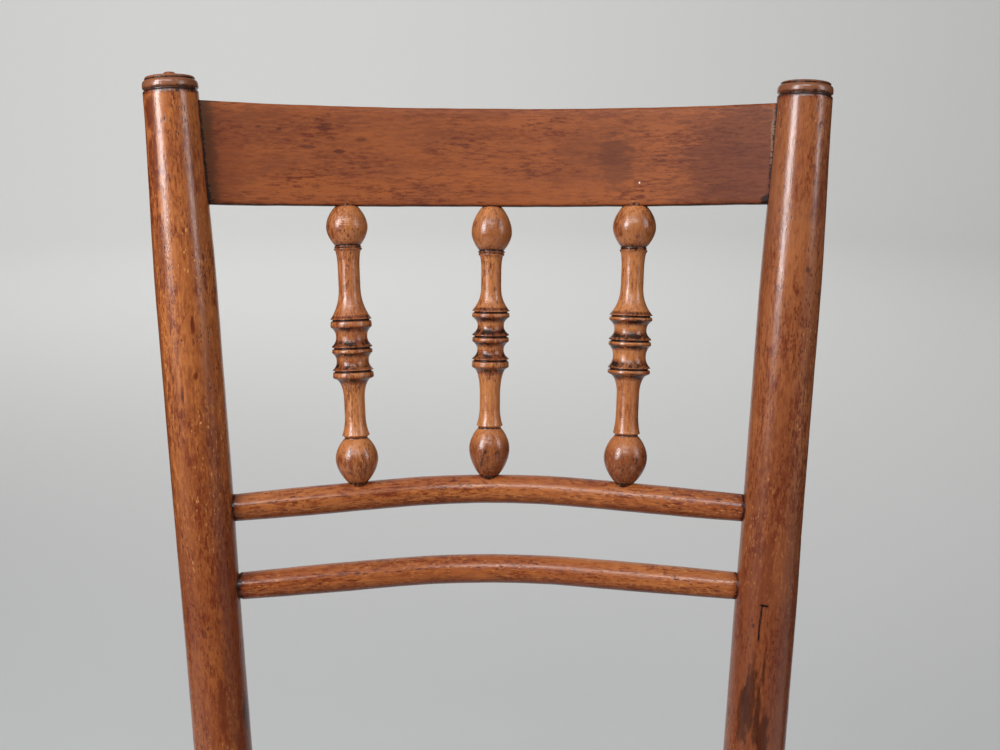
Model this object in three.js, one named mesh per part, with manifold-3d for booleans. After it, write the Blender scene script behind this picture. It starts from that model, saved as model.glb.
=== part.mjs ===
// A side chair of turned and steam-bent beech: two round back posts that run down into the rear legs,
// a bowed flat top rail, three turned spindles on two bowed round rails, and a hand-caned seat in a
// four-piece frame on turned front legs with round stretchers.
// Millimetres, +Z up, the sitter faces -Y. Left and right are as seen from the front.
import * as THREE from "three";
import { mergeVertices } from "three/addons/utils/BufferGeometryUtils.js";
import Module from "manifold-3d";

// Overall form
const SEAT_HEIGHT = 445; // top of the seat frame above the floor
const RECLINE = THREE.MathUtils.degToRad(11); // lean of the back
const BACK_OUTWARD = 0.0529; // how far a post leans out for each millimetre up the back
const POST_HALF_SPACING = 153.9; // post axis from the centre line, at the seat's top
const FIT = 0.3; // clearance round each tenon and at each shoulder

// Back posts: radius at stations up the post, and the turned caps
const POST_FOOT_RADIUS = 13;
const POST_MID_RADIUS = 16.9;
const POST_TOP_RADIUS = 15;
const POST_SEAT_RADIUS = { left: 16.4, right: 17.5 };
const POST_SWELL_RISE = { start: 95, full: 175, taper: 285 };
const CAP_GROOVE_RISE = { left: 398.1, right: 395.4 };
const CAP_GROOVE = { depth: 0.9, width: 1.4 };
const CAP_BEAD_HEIGHT = 5.3;
const CAP_STEP = 1.7; // from the bead's edge in to the dome
const CAP_DOME_HEIGHT = { left: 2.2, right: 1.9 };
const CAP_NUB = { radius: 2.9, height: 1.1 }; // the lathe centre left on the left post
const BEND_BELOW_SEAT = 65; // where the upper and lower lines of a post would cross
const BEND_REACH = 62; // how far the bend runs each side of that crossing
const REAR_LEG_RAKE = THREE.MathUtils.degToRad(8);
const REAR_LEG_SPLAY = THREE.MathUtils.degToRad(2.5);

// Top rail
const TOP_RAIL_RISE = 364.3;
const TOP_RAIL_HEIGHT = 55.8;
const TOP_RAIL_THICKNESS = 12;
const TOP_RAIL_EDGE = 1.5; // rounding of its long edges
const TOP_RAIL_HOUSING = 9; // how far it is let into a post

// Bowed round rails
const BOW_DEPTH = 38;
const TOP_BEND_SHARE = 1; // the top rail bends over its whole length
const ROD_BEND_SHARE = 0.35; // the round rails bend in the middle and run straight to the posts
const ROD_RADIUS = 8.6; // in the middle
const ROD_SHOULDER_RADIUS = 7.8; // where it meets the post
const ROD_END_RADIUS = 7.2; // inside the post
const ROD_HOUSING = 13;
const UPPER_ROD = { rise: 162.6, lift: 0.133 }; // lift: how much the bow also rises
const LOWER_ROD = { rise: 117, lift: 0.04 };

// Spindles: where each stands on the rod and meets the top rail, how far its rings start below the
// top rail, and their turning
const SPINDLES = {
  left_spindle: { foot: -77.3, head: -82.9, ringDrop: 66 },
  middle_spindle: { foot: 0, head: 1.9, ringDrop: 60.3 },
  right_spindle: { foot: 80, head: 85.2, ringDrop: 62.6 },
};
const BALL_RADIUS = 12;
const BALL_HEAD_DROP = 12.2; // ball centre below the top rail
const COLLAR = { radius: 8.5, drop: 25.1, thickness: 2.6 };
const NECK_RADIUS = 7.7;
const WAIST_RADIUS = 6.2;
const UPPER_WAIST_DROP = 38;
const RING_RADIUS = 12;
const RING_COUNT = 3;
const RING_PITCH = 14.6;
const RING = { lip: 0.8, groove: 0.8, grooveDepth: 1, band: 3.4 };
const COVE_RADIUS = 9.1;
const FLARE_LENGTH = 9.5;
const LOWER_COLLAR = { rise: 28.5, radius: 8.4, groove: 1.4, grooveRadius: 7.7 };
const DROP_BALL = { rise: 14.2, radius: 12.7, footRadius: 6.2 };
const SPINDLE_SEAT = 2.6; // how far a turned end runs on, to be coped to its rail
const HEAD_TENON = { radius: 4.5, length: 12 };
const FOOT_TENON = { radius: 3.4, length: 9 };

// Seat frame
const SEAT_THICKNESS = 22;
const SEAT_EDGE = 3; // rounding of the boards' edges
const SIDE_BOARD_WIDTH = 45;
const SIDE_BOARD_FRONT_X = 169.5; // its middle at the front board
const FRONT_BOARD = { back: -320, front: -384, halfWidth: 200, corner: 34 };
const REAR_BOARD = { front: -38, back: 8 };
const SIDE_BOARD_END = -13; // how near the posts' axes the side boards run
const SEAT_TENON = { radius: 6, depth: 9 };
const BOARD_TENON = { width: 28, thickness: 8, length: 16 };

// Cane: holes round the opening, the woven wall and the strips over the holes
const HOLE_INSET = 10;
const HOLE_RADIUS = 2.4;
const HOLE_PITCH = 16;
const CANE_WALL = 1.4;
const CANE_RIDGE = { width: 3, height: 0.8 };
const CANE_MARGIN = 2; // the wall runs this far past the hole line
const CANE_GAPS = { across: 8, deep: 8, size: 0.62 }; // size: share of the pitch that is open
const BINDING = { width: 6, thickness: 1.4 };

// Front legs and stretchers
const FRONT_LEG = { x: 172, y: -354, topRadius: 16.5, footRadius: 12, swell: 60 };
const FRONT_LEG_LEAN = { out: 0.026, forward: 0.05 };
const LEG_TENON = { radius: 10, length: 16 };
const STRETCHER_RADIUS = 8.6;
const STRETCHER_END_RADIUS = 6.2;
const STRETCHER_STOP = 4.5; // a tenon ends this far from the leg's axis
const FRONT_STRETCHER_HEIGHTS = { upper: 262, lower: 148 };
const SIDE_STRETCHER_HEIGHTS = { upper: 226, lower: 108 };
const REAR_STRETCHER_HEIGHT = 178;

const POST_SIDES = 16;
const ROD_SIDES = 12;
const SPINDLE_SIDES = 12;
const STRETCHER_SIDES = 10;
const CURVE_STEPS = 2;

const wasm = await Module();
wasm.setup();

const beech = new THREE.MeshStandardMaterial({ name: "polished_beech", color: 0xa9652f, roughness: 0.32 });
const darkBeech = new THREE.MeshStandardMaterial({ name: "stained_beech", color: 0x8c4d2a, roughness: 0.4 });
const spindleBeech = new THREE.MeshStandardMaterial({ name: "turned_beech", color: 0xb47a48, roughness: 0.3 });
const cane = new THREE.MeshStandardMaterial({ name: "cane", color: 0xc29a5b, roughness: 0.5 });

// A closed geometry as a solid that can be cut and joined.
function solid(geometry) {
  const bare = new THREE.BufferGeometry();
  bare.setAttribute("position", geometry.getAttribute("position"));
  if (geometry.index) bare.setIndex(geometry.index);
  const merged = mergeVertices(bare, 1e-4);
  return new wasm.Manifold(
    new wasm.Mesh({
      numProp: 3,
      vertProperties: merged.attributes.position.array,
      triVerts: new Uint32Array(merged.index.array),
    }),
  );
}

function meshOf(name, shape, material) {
  const { vertProperties, triVerts } = shape.getMesh();
  const geometry = new THREE.BufferGeometry();
  geometry.setAttribute("position", new THREE.BufferAttribute(vertProperties, 3));
  geometry.setIndex(new THREE.BufferAttribute(triVerts, 1));
  geometry.computeVertexNormals();
  const mesh = new THREE.Mesh(geometry, material);
  mesh.name = name;
  return mesh;
}

// Bends a straight piece, modelled along +Y from zero, onto a curve. Its Z follows the guide direction.
function bend(geometry, curve, startLength, guide) {
  const total = curve.getLength();
  const position = geometry.getAttribute("position");
  const local = new THREE.Vector3();
  for (let i = 0; i < position.count; i++) {
    local.fromBufferAttribute(position, i);
    const along = (startLength + local.y) / total;
    const inside = THREE.MathUtils.clamp(along, 0, 1);
    const tangent = curve.getTangentAt(inside).normalize();
    const up = guide.clone().addScaledVector(tangent, -guide.dot(tangent)).normalize();
    const side = new THREE.Vector3().crossVectors(tangent, up);
    const point = curve.getPointAt(inside).addScaledVector(tangent, (along - inside) * total);
    point.addScaledVector(side, local.x).addScaledVector(up, local.z);
    position.setXYZ(i, point.x, point.y, point.z);
  }
  return geometry;
}

// A turned piece whose profile is a list of [radius, height] points; it closes on its axis.
function turned(profile, sides) {
  const points = profile.map(([radius, height]) => new THREE.Vector2(radius, height));
  const first = points[0];
  const last = points[points.length - 1];
  points.unshift(new THREE.Vector2(0, first.y));
  points.push(new THREE.Vector2(0, last.y));
  return new THREE.LatheGeometry(points, sides);
}

// A plain round peg between two points, running on past each by the given lengths.
function peg(from, to, radius, before, after, sides) {
  const direction = to.clone().sub(from).normalize();
  const start = from.clone().addScaledVector(direction, -before);
  const end = to.clone().addScaledVector(direction, after);
  const length = start.distanceTo(end);
  const profile = [[radius, 0], [radius, length]];
  const guide = Math.abs(direction.z) > 0.7 ? new THREE.Vector3(0, 1, 0) : new THREE.Vector3(0, 0, 1);
  return solid(bend(turned(profile, sides), new THREE.LineCurve3(start, end), 0, guide));
}

function box(low, high) {
  const size = high.clone().sub(low);
  const geometry = new THREE.BoxGeometry(size.x, size.y, size.z);
  geometry.translate((low.x + high.x) / 2, (low.y + high.y) / 2, (low.z + high.z) / 2);
  return solid(geometry);
}

const SIGN = { left: -1, right: 1 };
const BACKWARD = new THREE.Vector3(0, 1, 0);
const UP_THE_BACK = new THREE.Vector3(0, Math.sin(RECLINE), Math.cos(RECLINE));

// A point by its place in the leaning plane of the posts: across, up from the seat, and behind the plane.
function backPoint(across, rise, behind) {
  const y = rise * Math.sin(RECLINE) + behind * Math.cos(RECLINE);
  const z = SEAT_HEIGHT + rise * Math.cos(RECLINE) - behind * Math.sin(RECLINE);
  return new THREE.Vector3(across, y, z);
}

function postHalfSpacing(rise) {
  return POST_HALF_SPACING + BACK_OUTWARD * rise;
}

// Back posts. The line of each post runs from below the floor, through the bend, to the cap.
const FLOOR_ALLOWANCE = 12;

function postTopRise(side) {
  const nub = side === "left" ? CAP_NUB.height : 0;
  return CAP_GROOVE_RISE[side] + CAP_BEAD_HEIGHT + CAP_DOME_HEIGHT[side] + nub;
}

function postCurve(side) {
  const across = (rise) => SIGN[side] * postHalfSpacing(rise);
  const crossing = backPoint(across(-BEND_BELOW_SEAT), -BEND_BELOW_SEAT, 0);
  const down = new THREE.Vector3(
    SIGN[side] * Math.tan(REAR_LEG_SPLAY),
    Math.tan(REAR_LEG_RAKE),
    -1,
  ).normalize();
  const bendLow = crossing.clone().addScaledVector(down, BEND_REACH);
  const highRise = BEND_REACH - BEND_BELOW_SEAT;
  const bendHigh = backPoint(across(highRise), highRise, 0);
  const foot = crossing.clone().addScaledVector(down, (crossing.z + FLOOR_ALLOWANCE) / -down.z);
  const top = backPoint(across(postTopRise(side)), postTopRise(side), 0);
  const curve = new THREE.CurvePath();
  curve.add(new THREE.LineCurve3(foot, bendLow));
  curve.add(new THREE.QuadraticBezierCurve3(bendLow, crossing, bendHigh));
  curve.add(new THREE.LineCurve3(bendHigh, top));
  return curve;
}

// Length along a post's line to the place that stands at a given rise up the back.
function lengthAtRise(side, rise) {
  const slope = Math.hypot(1, BACK_OUTWARD);
  return postCurve(side).getLength() - (postTopRise(side) - rise) * slope;
}

// Radius of a post from its foot to its cap groove: straight runs, and short steps round the bend.
function postProfile(side) {
  const at = (rise) => lengthAtRise(side, rise);
  const profile = [[POST_FOOT_RADIUS, 0]];
  const bendEnd = at(BEND_REACH - BEND_BELOW_SEAT);
  const steps = 5;
  for (let i = 0; i <= steps; i++) {
    profile.push([POST_SEAT_RADIUS[side], bendEnd - 2 * BEND_REACH * (1 - i / steps)]);
  }
  profile.push(
    [POST_SEAT_RADIUS[side], at(POST_SWELL_RISE.start)],
    [POST_MID_RADIUS, at(POST_SWELL_RISE.full)],
    [POST_MID_RADIUS, at(POST_SWELL_RISE.taper)],
    [POST_TOP_RADIUS, at(CAP_GROOVE_RISE[side] - CAP_GROOVE.width / 2)],
  );
  return profile;
}

// The cap above the groove: a rounded bead, a step in, a shallow dome and, on the left, a nub.
function capProfile(side) {
  const groove = lengthAtRise(side, CAP_GROOVE_RISE[side]);
  const beadBase = groove + CAP_GROOVE.width / 2;
  const beadTop = beadBase + CAP_BEAD_HEIGHT;
  const domeRadius = POST_TOP_RADIUS - CAP_STEP;
  const grooveRadius = POST_TOP_RADIUS - CAP_GROOVE.depth;
  const profile = [[grooveRadius, groove]];
  const bead = new THREE.QuadraticBezierCurve(
    new THREE.Vector2(POST_TOP_RADIUS - CAP_GROOVE.depth / 3, beadBase),
    new THREE.Vector2(POST_TOP_RADIUS, (beadBase + beadTop) / 2),
    new THREE.Vector2(domeRadius, beadTop),
  );
  bead.getPoints(CURVE_STEPS + 1).forEach((p) => profile.push([p.x, p.y]));
  const innerRadius = side === "left" ? CAP_NUB.radius : POST_TOP_RADIUS / 4;
  const top = beadTop + CAP_DOME_HEIGHT[side] - CAP_GROOVE.width / 2;
  const dome = new THREE.QuadraticBezierCurve(
    new THREE.Vector2(domeRadius - CAP_STEP / 3, beadTop + CAP_STEP / 3),
    new THREE.Vector2(domeRadius / 2, top),
    new THREE.Vector2(innerRadius, top),
  );
  dome.getPoints(CURVE_STEPS).forEach((p) => profile.push([p.x, p.y]));
  if (side === "left") profile.push([CAP_NUB.radius * 0.6, top + CAP_NUB.height]);
  return profile;
}

function postBlank(side, grow) {
  const profile = [...postProfile(side), ...capProfile(side)].map(([radius, height]) => [radius + grow, height]);
  return solid(bend(turned(profile, POST_SIDES), postCurve(side), 0, BACKWARD));
}

// Bowed rails. A bow runs between the posts' axes, straight at its ends and bent in the middle.
function bowCurve(rise, lift, bendShare) {
  const apex = BOW_DEPTH / (1 - bendShare / 2);
  const half = postHalfSpacing(rise);
  const at = (share, depth) => backPoint(share * half, rise + depth * lift, depth);
  const shoulder = apex * (1 - bendShare);
  const curve = new THREE.CurvePath();
  if (bendShare < 1) curve.add(new THREE.LineCurve3(at(-1, 0), at(-bendShare, shoulder)));
  curve.add(
    new THREE.QuadraticBezierCurve3(at(-bendShare, shoulder), at(0, apex), at(bendShare, shoulder)),
  );
  if (bendShare < 1) curve.add(new THREE.LineCurve3(at(bendShare, shoulder), at(1, 0)));
  return curve;
}

const topCurve = bowCurve(TOP_RAIL_RISE, 0, TOP_BEND_SHARE);
const upperRodCurve = bowCurve(UPPER_ROD.rise, UPPER_ROD.lift, ROD_BEND_SHARE);
const lowerRodCurve = bowCurve(LOWER_ROD.rise, LOWER_ROD.lift, ROD_BEND_SHARE);

// The point of a bow that stands at a given distance from the chair's centre line.
function pointAtX(curve, x) {
  let low = 0;
  let high = 1;
  for (let i = 0; i < 40; i++) {
    const middle = (low + high) / 2;
    if (curve.getPointAt(middle).x < x) low = middle;
    else high = middle;
  }
  return curve.getPointAt(low);
}

// A flat rail with rounded long edges, bent along the bow. The housing shape is the same, grown.
function topRail(grow, extra) {
  const halfThickness = TOP_RAIL_THICKNESS / 2 + grow;
  const halfHeight = TOP_RAIL_HEIGHT / 2 + grow;
  const section = new THREE.Shape();
  section.moveTo(-halfThickness + TOP_RAIL_EDGE, -halfHeight);
  section.lineTo(halfThickness - TOP_RAIL_EDGE, -halfHeight);
  section.lineTo(halfThickness, -halfHeight + TOP_RAIL_EDGE);
  section.lineTo(halfThickness, halfHeight - TOP_RAIL_EDGE);
  section.lineTo(halfThickness - TOP_RAIL_EDGE, halfHeight);
  section.lineTo(-halfThickness + TOP_RAIL_EDGE, halfHeight);
  section.lineTo(-halfThickness, halfHeight - TOP_RAIL_EDGE);
  section.lineTo(-halfThickness, -halfHeight + TOP_RAIL_EDGE);
  const start = postHousingStart(TOP_RAIL_HOUSING + extra);
  const length = topCurve.getLength() - 2 * start;
  const steps = 18;
  const geometry = new THREE.ExtrudeGeometry(section, { depth: length, steps, bevelEnabled: false });
  geometry.rotateX(Math.PI / 2);
  geometry.translate(0, length, 0);
  return solid(bend(geometry, topCurve, start, UP_THE_BACK));
}

// How far from a post's axis a rail starts, when it is let in by the given depth.
function postHousingStart(housing) {
  return POST_TOP_RADIUS - housing;
}

function rodStart(housing) {
  return POST_MID_RADIUS - housing;
}

// A round rail, full in its bent middle and thinner towards the posts.
function rod(curve, grow, extra) {
  const start = rodStart(ROD_HOUSING + extra);
  const length = curve.getLength() - 2 * start;
  const shoulder = ROD_HOUSING + extra;
  const bendStart = ((1 - ROD_BEND_SHARE) * curve.getLength()) / 2 - start;
  const bendEnd = length - bendStart;
  const profile = [[ROD_END_RADIUS + grow, 0], [ROD_SHOULDER_RADIUS + grow, shoulder]];
  const steps = 10;
  for (let i = 0; i <= steps; i++) {
    profile.push([ROD_RADIUS + grow, THREE.MathUtils.lerp(bendStart, bendEnd, i / steps)]);
  }
  profile.push([ROD_SHOULDER_RADIUS + grow, length - shoulder], [ROD_END_RADIUS + grow, length]);
  return solid(bend(turned(profile, ROD_SIDES), curve, start, UP_THE_BACK));
}

// Spindles. A spindle's line runs from the rod's top surface to the top rail's lower edge.
function spindleLine(place) {
  const foot = pointAtX(upperRodCurve, place.foot).addScaledVector(UP_THE_BACK, ROD_RADIUS);
  const head = pointAtX(topCurve, place.head).addScaledVector(UP_THE_BACK, -TOP_RAIL_HEIGHT / 2);
  return new THREE.LineCurve3(foot, head);
}

// The turned outline, from the foot at zero to the head at the given length.
function spindleProfile(length, ringDrop) {
  const path = new THREE.Path();
  const fromHead = (drop) => length - drop;
  const ballY = DROP_BALL.rise;
  path.moveTo(DROP_BALL.footRadius, -SPINDLE_SEAT);
  path.lineTo(DROP_BALL.footRadius, 0);
  path.quadraticCurveTo(DROP_BALL.radius, ballY * 0.45, DROP_BALL.radius, ballY);
  const grooveY = LOWER_COLLAR.rise - LOWER_COLLAR.groove;
  path.quadraticCurveTo(DROP_BALL.radius, grooveY - 5, LOWER_COLLAR.grooveRadius, grooveY);
  path.lineTo(LOWER_COLLAR.radius, LOWER_COLLAR.rise);
  const ringTop = (i) => fromHead(ringDrop + i * RING_PITCH);
  const lastRing = ringTop(RING_COUNT - 1);
  const lowerRingBase = lastRing - RING.lip - RING.groove - RING.band;
  const lowerWaistTop = lowerRingBase - FLARE_LENGTH;
  path.quadraticCurveTo(WAIST_RADIUS, LOWER_COLLAR.rise + 3, WAIST_RADIUS, LOWER_COLLAR.rise + 11);
  path.lineTo(WAIST_RADIUS + 0.2, lowerWaistTop);
  path.quadraticCurveTo(WAIST_RADIUS + 0.6, lowerRingBase - 2.5, RING_RADIUS - 0.2, lowerRingBase);
  for (let i = RING_COUNT - 1; i >= 0; i--) {
    const top = ringTop(i);
    const bandTop = top - RING.lip - RING.groove;
    path.lineTo(RING_RADIUS - 0.3, bandTop);
    path.lineTo(RING_RADIUS - RING.grooveDepth, bandTop + RING.groove / 2);
    path.lineTo(RING_RADIUS, top - RING.lip);
    path.lineTo(RING_RADIUS - 0.2, top);
    if (i > 0) {
      const nextBase = ringTop(i - 1) - RING.lip - RING.groove - RING.band;
      const middle = (top + nextBase) / 2;
      path.quadraticCurveTo(COVE_RADIUS, top + 1, COVE_RADIUS, middle);
      path.quadraticCurveTo(COVE_RADIUS, nextBase - 1.5, RING_RADIUS, nextBase);
    }
  }
  const flareTop = ringTop(0) + FLARE_LENGTH;
  const collarBase = fromHead(COLLAR.drop + COLLAR.thickness / 2);
  path.quadraticCurveTo(WAIST_RADIUS + 1, flareTop - FLARE_LENGTH * 0.8, WAIST_RADIUS + 0.6, flareTop + 4);
  path.lineTo(WAIST_RADIUS, fromHead(UPPER_WAIST_DROP));
  path.quadraticCurveTo(WAIST_RADIUS, collarBase - 4, NECK_RADIUS, collarBase);
  path.lineTo(COLLAR.radius, fromHead(COLLAR.drop));
  path.lineTo(NECK_RADIUS, fromHead(COLLAR.drop - COLLAR.thickness / 2));
  const centre = fromHead(BALL_HEAD_DROP);
  const lowAngle = -Math.acos(NECK_RADIUS / BALL_RADIUS);
  const highAngle = Math.asin((BALL_HEAD_DROP - 1.5) / BALL_RADIUS);
  path.absarc(0, centre, BALL_RADIUS, lowAngle, highAngle, false);
  path.lineTo(BALL_RADIUS * Math.cos(highAngle), length + SPINDLE_SEAT);
  return path.getPoints(CURVE_STEPS).map((p) => [p.x, p.y]);
}

function spindle(place) {
  const line = spindleLine(place);
  const length = line.getLength();
  const direction = line.getTangent(0);
  const profile = spindleProfile(length, place.ringDrop).map(([radius, height]) => [radius, height + SPINDLE_SEAT]);
  const start = line.v1.clone().addScaledVector(direction, -SPINDLE_SEAT);
  const end = line.v2.clone().addScaledVector(direction, SPINDLE_SEAT);
  const geometry = bend(turned(profile, SPINDLE_SIDES), new THREE.LineCurve3(start, end), 0, BACKWARD);
  const coped = solid(geometry).subtract(topRail(FIT, 0)).subtract(rod(upperRodCurve, FIT, 0));
  return coped.decompose().sort((a, b) => b.volume() - a.volume())[0].add(spindleTenons(place, 0));
}

// The two pegs that a spindle runs into its rails with. They reach back into the spindle's body.
function spindleTenons(place, grow) {
  const line = spindleLine(place);
  const direction = line.getTangent(0);
  const inFoot = line.v1.clone().addScaledVector(direction, SPINDLE_SEAT * 2);
  const inHead = line.v2.clone().addScaledVector(direction, -SPINDLE_SEAT * 2);
  const footTenon = peg(line.v1, inFoot, FOOT_TENON.radius + grow, FOOT_TENON.length + grow, 0, 8);
  const headTenon = peg(inHead, line.v2, HEAD_TENON.radius + grow, 0, HEAD_TENON.length + grow, 8);
  return footTenon.add(headTenon);
}

// Seat frame: boards cut from a flat outline, with rounded edges.
const SEAT_MIDDLE = SEAT_HEIGHT - SEAT_THICKNESS / 2;

function board(outline) {
  const geometry = new THREE.ExtrudeGeometry(outline, {
    depth: SEAT_THICKNESS - 2 * SEAT_EDGE,
    bevelEnabled: true,
    bevelThickness: SEAT_EDGE,
    bevelSize: SEAT_EDGE,
    bevelOffset: -SEAT_EDGE,
    bevelSegments: 2,
    curveSegments: 5,
  });
  geometry.translate(0, 0, SEAT_HEIGHT - SEAT_THICKNESS + SEAT_EDGE);
  return solid(geometry);
}

// Middle of a side board at a given place front to back.
function sideBoardX(y) {
  const share = y / FRONT_BOARD.back;
  return THREE.MathUtils.lerp(POST_HALF_SPACING, SIDE_BOARD_FRONT_X, share);
}

function frontBoardOutline() {
  const { back, front, halfWidth, corner } = FRONT_BOARD;
  const outline = new THREE.Shape();
  outline.moveTo(-halfWidth, back);
  outline.lineTo(-halfWidth, front + corner);
  outline.absarc(-halfWidth + corner, front + corner, corner, Math.PI, 1.5 * Math.PI, false);
  outline.absarc(halfWidth - corner, front + corner, corner, 1.5 * Math.PI, 2 * Math.PI, false);
  outline.lineTo(halfWidth, back);
  return outline;
}

function sideBoardOutline(side) {
  const half = SIDE_BOARD_WIDTH / 2;
  const front = FRONT_BOARD.back + FIT;
  const corners = [
    [sideBoardX(front) - half, front],
    [sideBoardX(front) + half, front],
    [sideBoardX(SIDE_BOARD_END) + half, SIDE_BOARD_END],
    [sideBoardX(SIDE_BOARD_END) - half, SIDE_BOARD_END],
  ];
  const outline = new THREE.Shape();
  corners.forEach(([x, y], i) => (i ? outline.lineTo(SIGN[side] * x, y) : outline.moveTo(SIGN[side] * x, y)));
  return outline;
}

// The rear board runs between the side boards and, behind them, reaches the posts.
function rearBoardOutline() {
  const inner = (y) => sideBoardX(y) - SIDE_BOARD_WIDTH / 2 - FIT;
  const shoulder = SIDE_BOARD_END + FIT;
  const half = [
    [inner(REAR_BOARD.front), REAR_BOARD.front],
    [inner(shoulder), shoulder],
    [POST_HALF_SPACING, shoulder],
    [POST_HALF_SPACING, REAR_BOARD.back],
  ];
  const mirrored = half.map(([x, y]) => [-x, y]).reverse();
  return new THREE.Shape([...half, ...mirrored].map(([x, y]) => new THREE.Vector2(x, y)));
}

// The flat tenon at the front of a side board.
function boardTenon(side, grow) {
  const x = SIGN[side] * sideBoardX(FRONT_BOARD.back);
  const front = FRONT_BOARD.back - BOARD_TENON.length - grow;
  const back = FRONT_BOARD.back + BOARD_TENON.length / 2;
  const halfWidth = BOARD_TENON.width / 2 + grow;
  const halfThickness = BOARD_TENON.thickness / 2 + grow;
  return box(
    new THREE.Vector3(x - halfWidth, front, SEAT_MIDDLE - halfThickness),
    new THREE.Vector3(x + halfWidth, back, SEAT_MIDDLE + halfThickness),
  );
}

// Where a post's axis passes through the middle of the seat frame.
function postAtHeight(side, z) {
  const curve = postCurve(side);
  let low = 0;
  let high = 1;
  for (let i = 0; i < 40; i++) {
    const middle = (low + high) / 2;
    if (curve.getPointAt(middle).z < z) low = middle;
    else high = middle;
  }
  return curve.getPointAt(low);
}

// The round tenons that hold the seat frame in the posts, from the front and from the inner side.
function sideSeatTenon(side, grow) {
  const axis = postAtHeight(side, SEAT_MIDDLE);
  const tip = axis.clone();
  tip.y -= POST_SEAT_RADIUS[side] - SEAT_TENON.depth - grow;
  const root = axis.clone();
  root.y -= POST_SEAT_RADIUS[side] + SEAT_TENON.depth;
  return peg(root, tip, SEAT_TENON.radius + grow, 0, 0, 12);
}

function rearSeatTenon(side, grow) {
  const axis = postAtHeight(side, SEAT_MIDDLE);
  const tip = axis.clone();
  tip.x -= SIGN[side] * (POST_SEAT_RADIUS[side] - SEAT_TENON.depth - grow);
  const root = axis.clone();
  root.x -= SIGN[side] * (POST_SEAT_RADIUS[side] + SEAT_TENON.depth);
  return peg(root, tip, SEAT_TENON.radius + grow, 0, 0, 12);
}

// Caning holes on one straight line of a board, spread evenly at close to the wanted pitch.
function holesAlong(from, to) {
  const count = Math.round(from.distanceTo(to) / HOLE_PITCH);
  const holes = [];
  for (let i = 0; i < count; i++) {
    const at = from.clone().lerp(to, (i + 0.5) / count);
    const below = new THREE.Vector3(at.x, at.y, SEAT_HEIGHT - SEAT_THICKNESS);
    const above = new THREE.Vector3(at.x, at.y, SEAT_HEIGHT);
    holes.push(peg(below, above, HOLE_RADIUS, 1, 1, 6));
  }
  return wasm.Manifold.union(holes);
}

// Corners of the hole line, on the left or right, at the front or the rear.
function holeCorner(side, end) {
  const y = end === "front" ? FRONT_BOARD.back - HOLE_INSET : REAR_BOARD.front + HOLE_INSET;
  const inner = sideBoardX(y) - SIDE_BOARD_WIDTH / 2;
  return new THREE.Vector2(SIGN[side] * (inner + HOLE_INSET), y);
}

// The straight part of a side's hole line, between the front and the rear boards.
function sideHoleEnds(side) {
  const at = (y) => new THREE.Vector2(SIGN[side] * (sideBoardX(y) - SIDE_BOARD_WIDTH / 2 + HOLE_INSET), y);
  return [at(FRONT_BOARD.back + HOLE_PITCH / 4), at(REAR_BOARD.front - HOLE_PITCH / 2)];
}

// The woven wall: a thin plate with gaps, ridges front to back above it and across below it.
function canePanel() {
  const corners = [
    holeCorner("left", "front"),
    holeCorner("right", "front"),
    holeCorner("right", "rear"),
    holeCorner("left", "rear"),
  ];
  const grown = corners.map((p) => new THREE.Vector2(
    p.x + Math.sign(p.x) * CANE_MARGIN,
    p.y + (p === corners[0] || p === corners[1] ? -CANE_MARGIN : CANE_MARGIN),
  ));
  const base = SEAT_HEIGHT + FIT;
  const plate = new THREE.ExtrudeGeometry(new THREE.Shape(grown), { depth: CANE_WALL, bevelEnabled: false });
  plate.translate(0, 0, base);
  const opening = { front: FRONT_BOARD.back, back: REAR_BOARD.front };
  const gaps = [];
  const depthPitch = (opening.back - opening.front) / CANE_GAPS.deep;
  const gapDepth = depthPitch * CANE_GAPS.size;
  const halfOpening = (y) => sideBoardX(y) - SIDE_BOARD_WIDTH / 2;
  const place = (column, y) => ((column / CANE_GAPS.across) * 2 - 1) * halfOpening(y);
  for (let row = 0; row < CANE_GAPS.deep; row++) {
    const y = opening.front + (row + 0.5) * depthPitch;
    for (let column = 0; column < CANE_GAPS.across; column++) {
      const low = column + 0.5 - CANE_GAPS.size / 2;
      const high = column + 0.5 + CANE_GAPS.size / 2;
      const gap = new THREE.Shape([
        new THREE.Vector2(place(low, y - gapDepth / 2), y - gapDepth / 2),
        new THREE.Vector2(place(low, y + gapDepth / 2), y + gapDepth / 2),
        new THREE.Vector2(place(high, y + gapDepth / 2), y + gapDepth / 2),
        new THREE.Vector2(place(high, y - gapDepth / 2), y - gapDepth / 2),
      ]);
      const cutter = new THREE.ExtrudeGeometry(gap, { depth: CANE_WALL * 3, bevelEnabled: false });
      cutter.translate(0, 0, base - CANE_WALL);
      gaps.push(solid(cutter));
    }
  }
  let wall = solid(plate).subtract(wasm.Manifold.union(gaps));
  const lift = 0.1; // how far a ridge sinks into the wall that carries it
  const inset = 2; // ridges stop short of the boards
  for (let column = 1; column < CANE_GAPS.across; column++) {
    const from = new THREE.Vector3(place(column, opening.front), opening.front + inset, 0);
    const to = new THREE.Vector3(place(column, opening.back), opening.back - inset, 0);
    wall = wall.add(bar(from, to, base + CANE_WALL - lift, CANE_RIDGE.height + lift));
  }
  for (let row = 1; row < CANE_GAPS.deep; row++) {
    const y = opening.front + row * depthPitch;
    const half = halfOpening(y) - inset;
    const from = new THREE.Vector3(-half, y, 0);
    const to = new THREE.Vector3(half, y, 0);
    wall = wall.add(bar(from, to, base - CANE_RIDGE.height, CANE_RIDGE.height + lift));
  }
  return wall;
}

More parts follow.
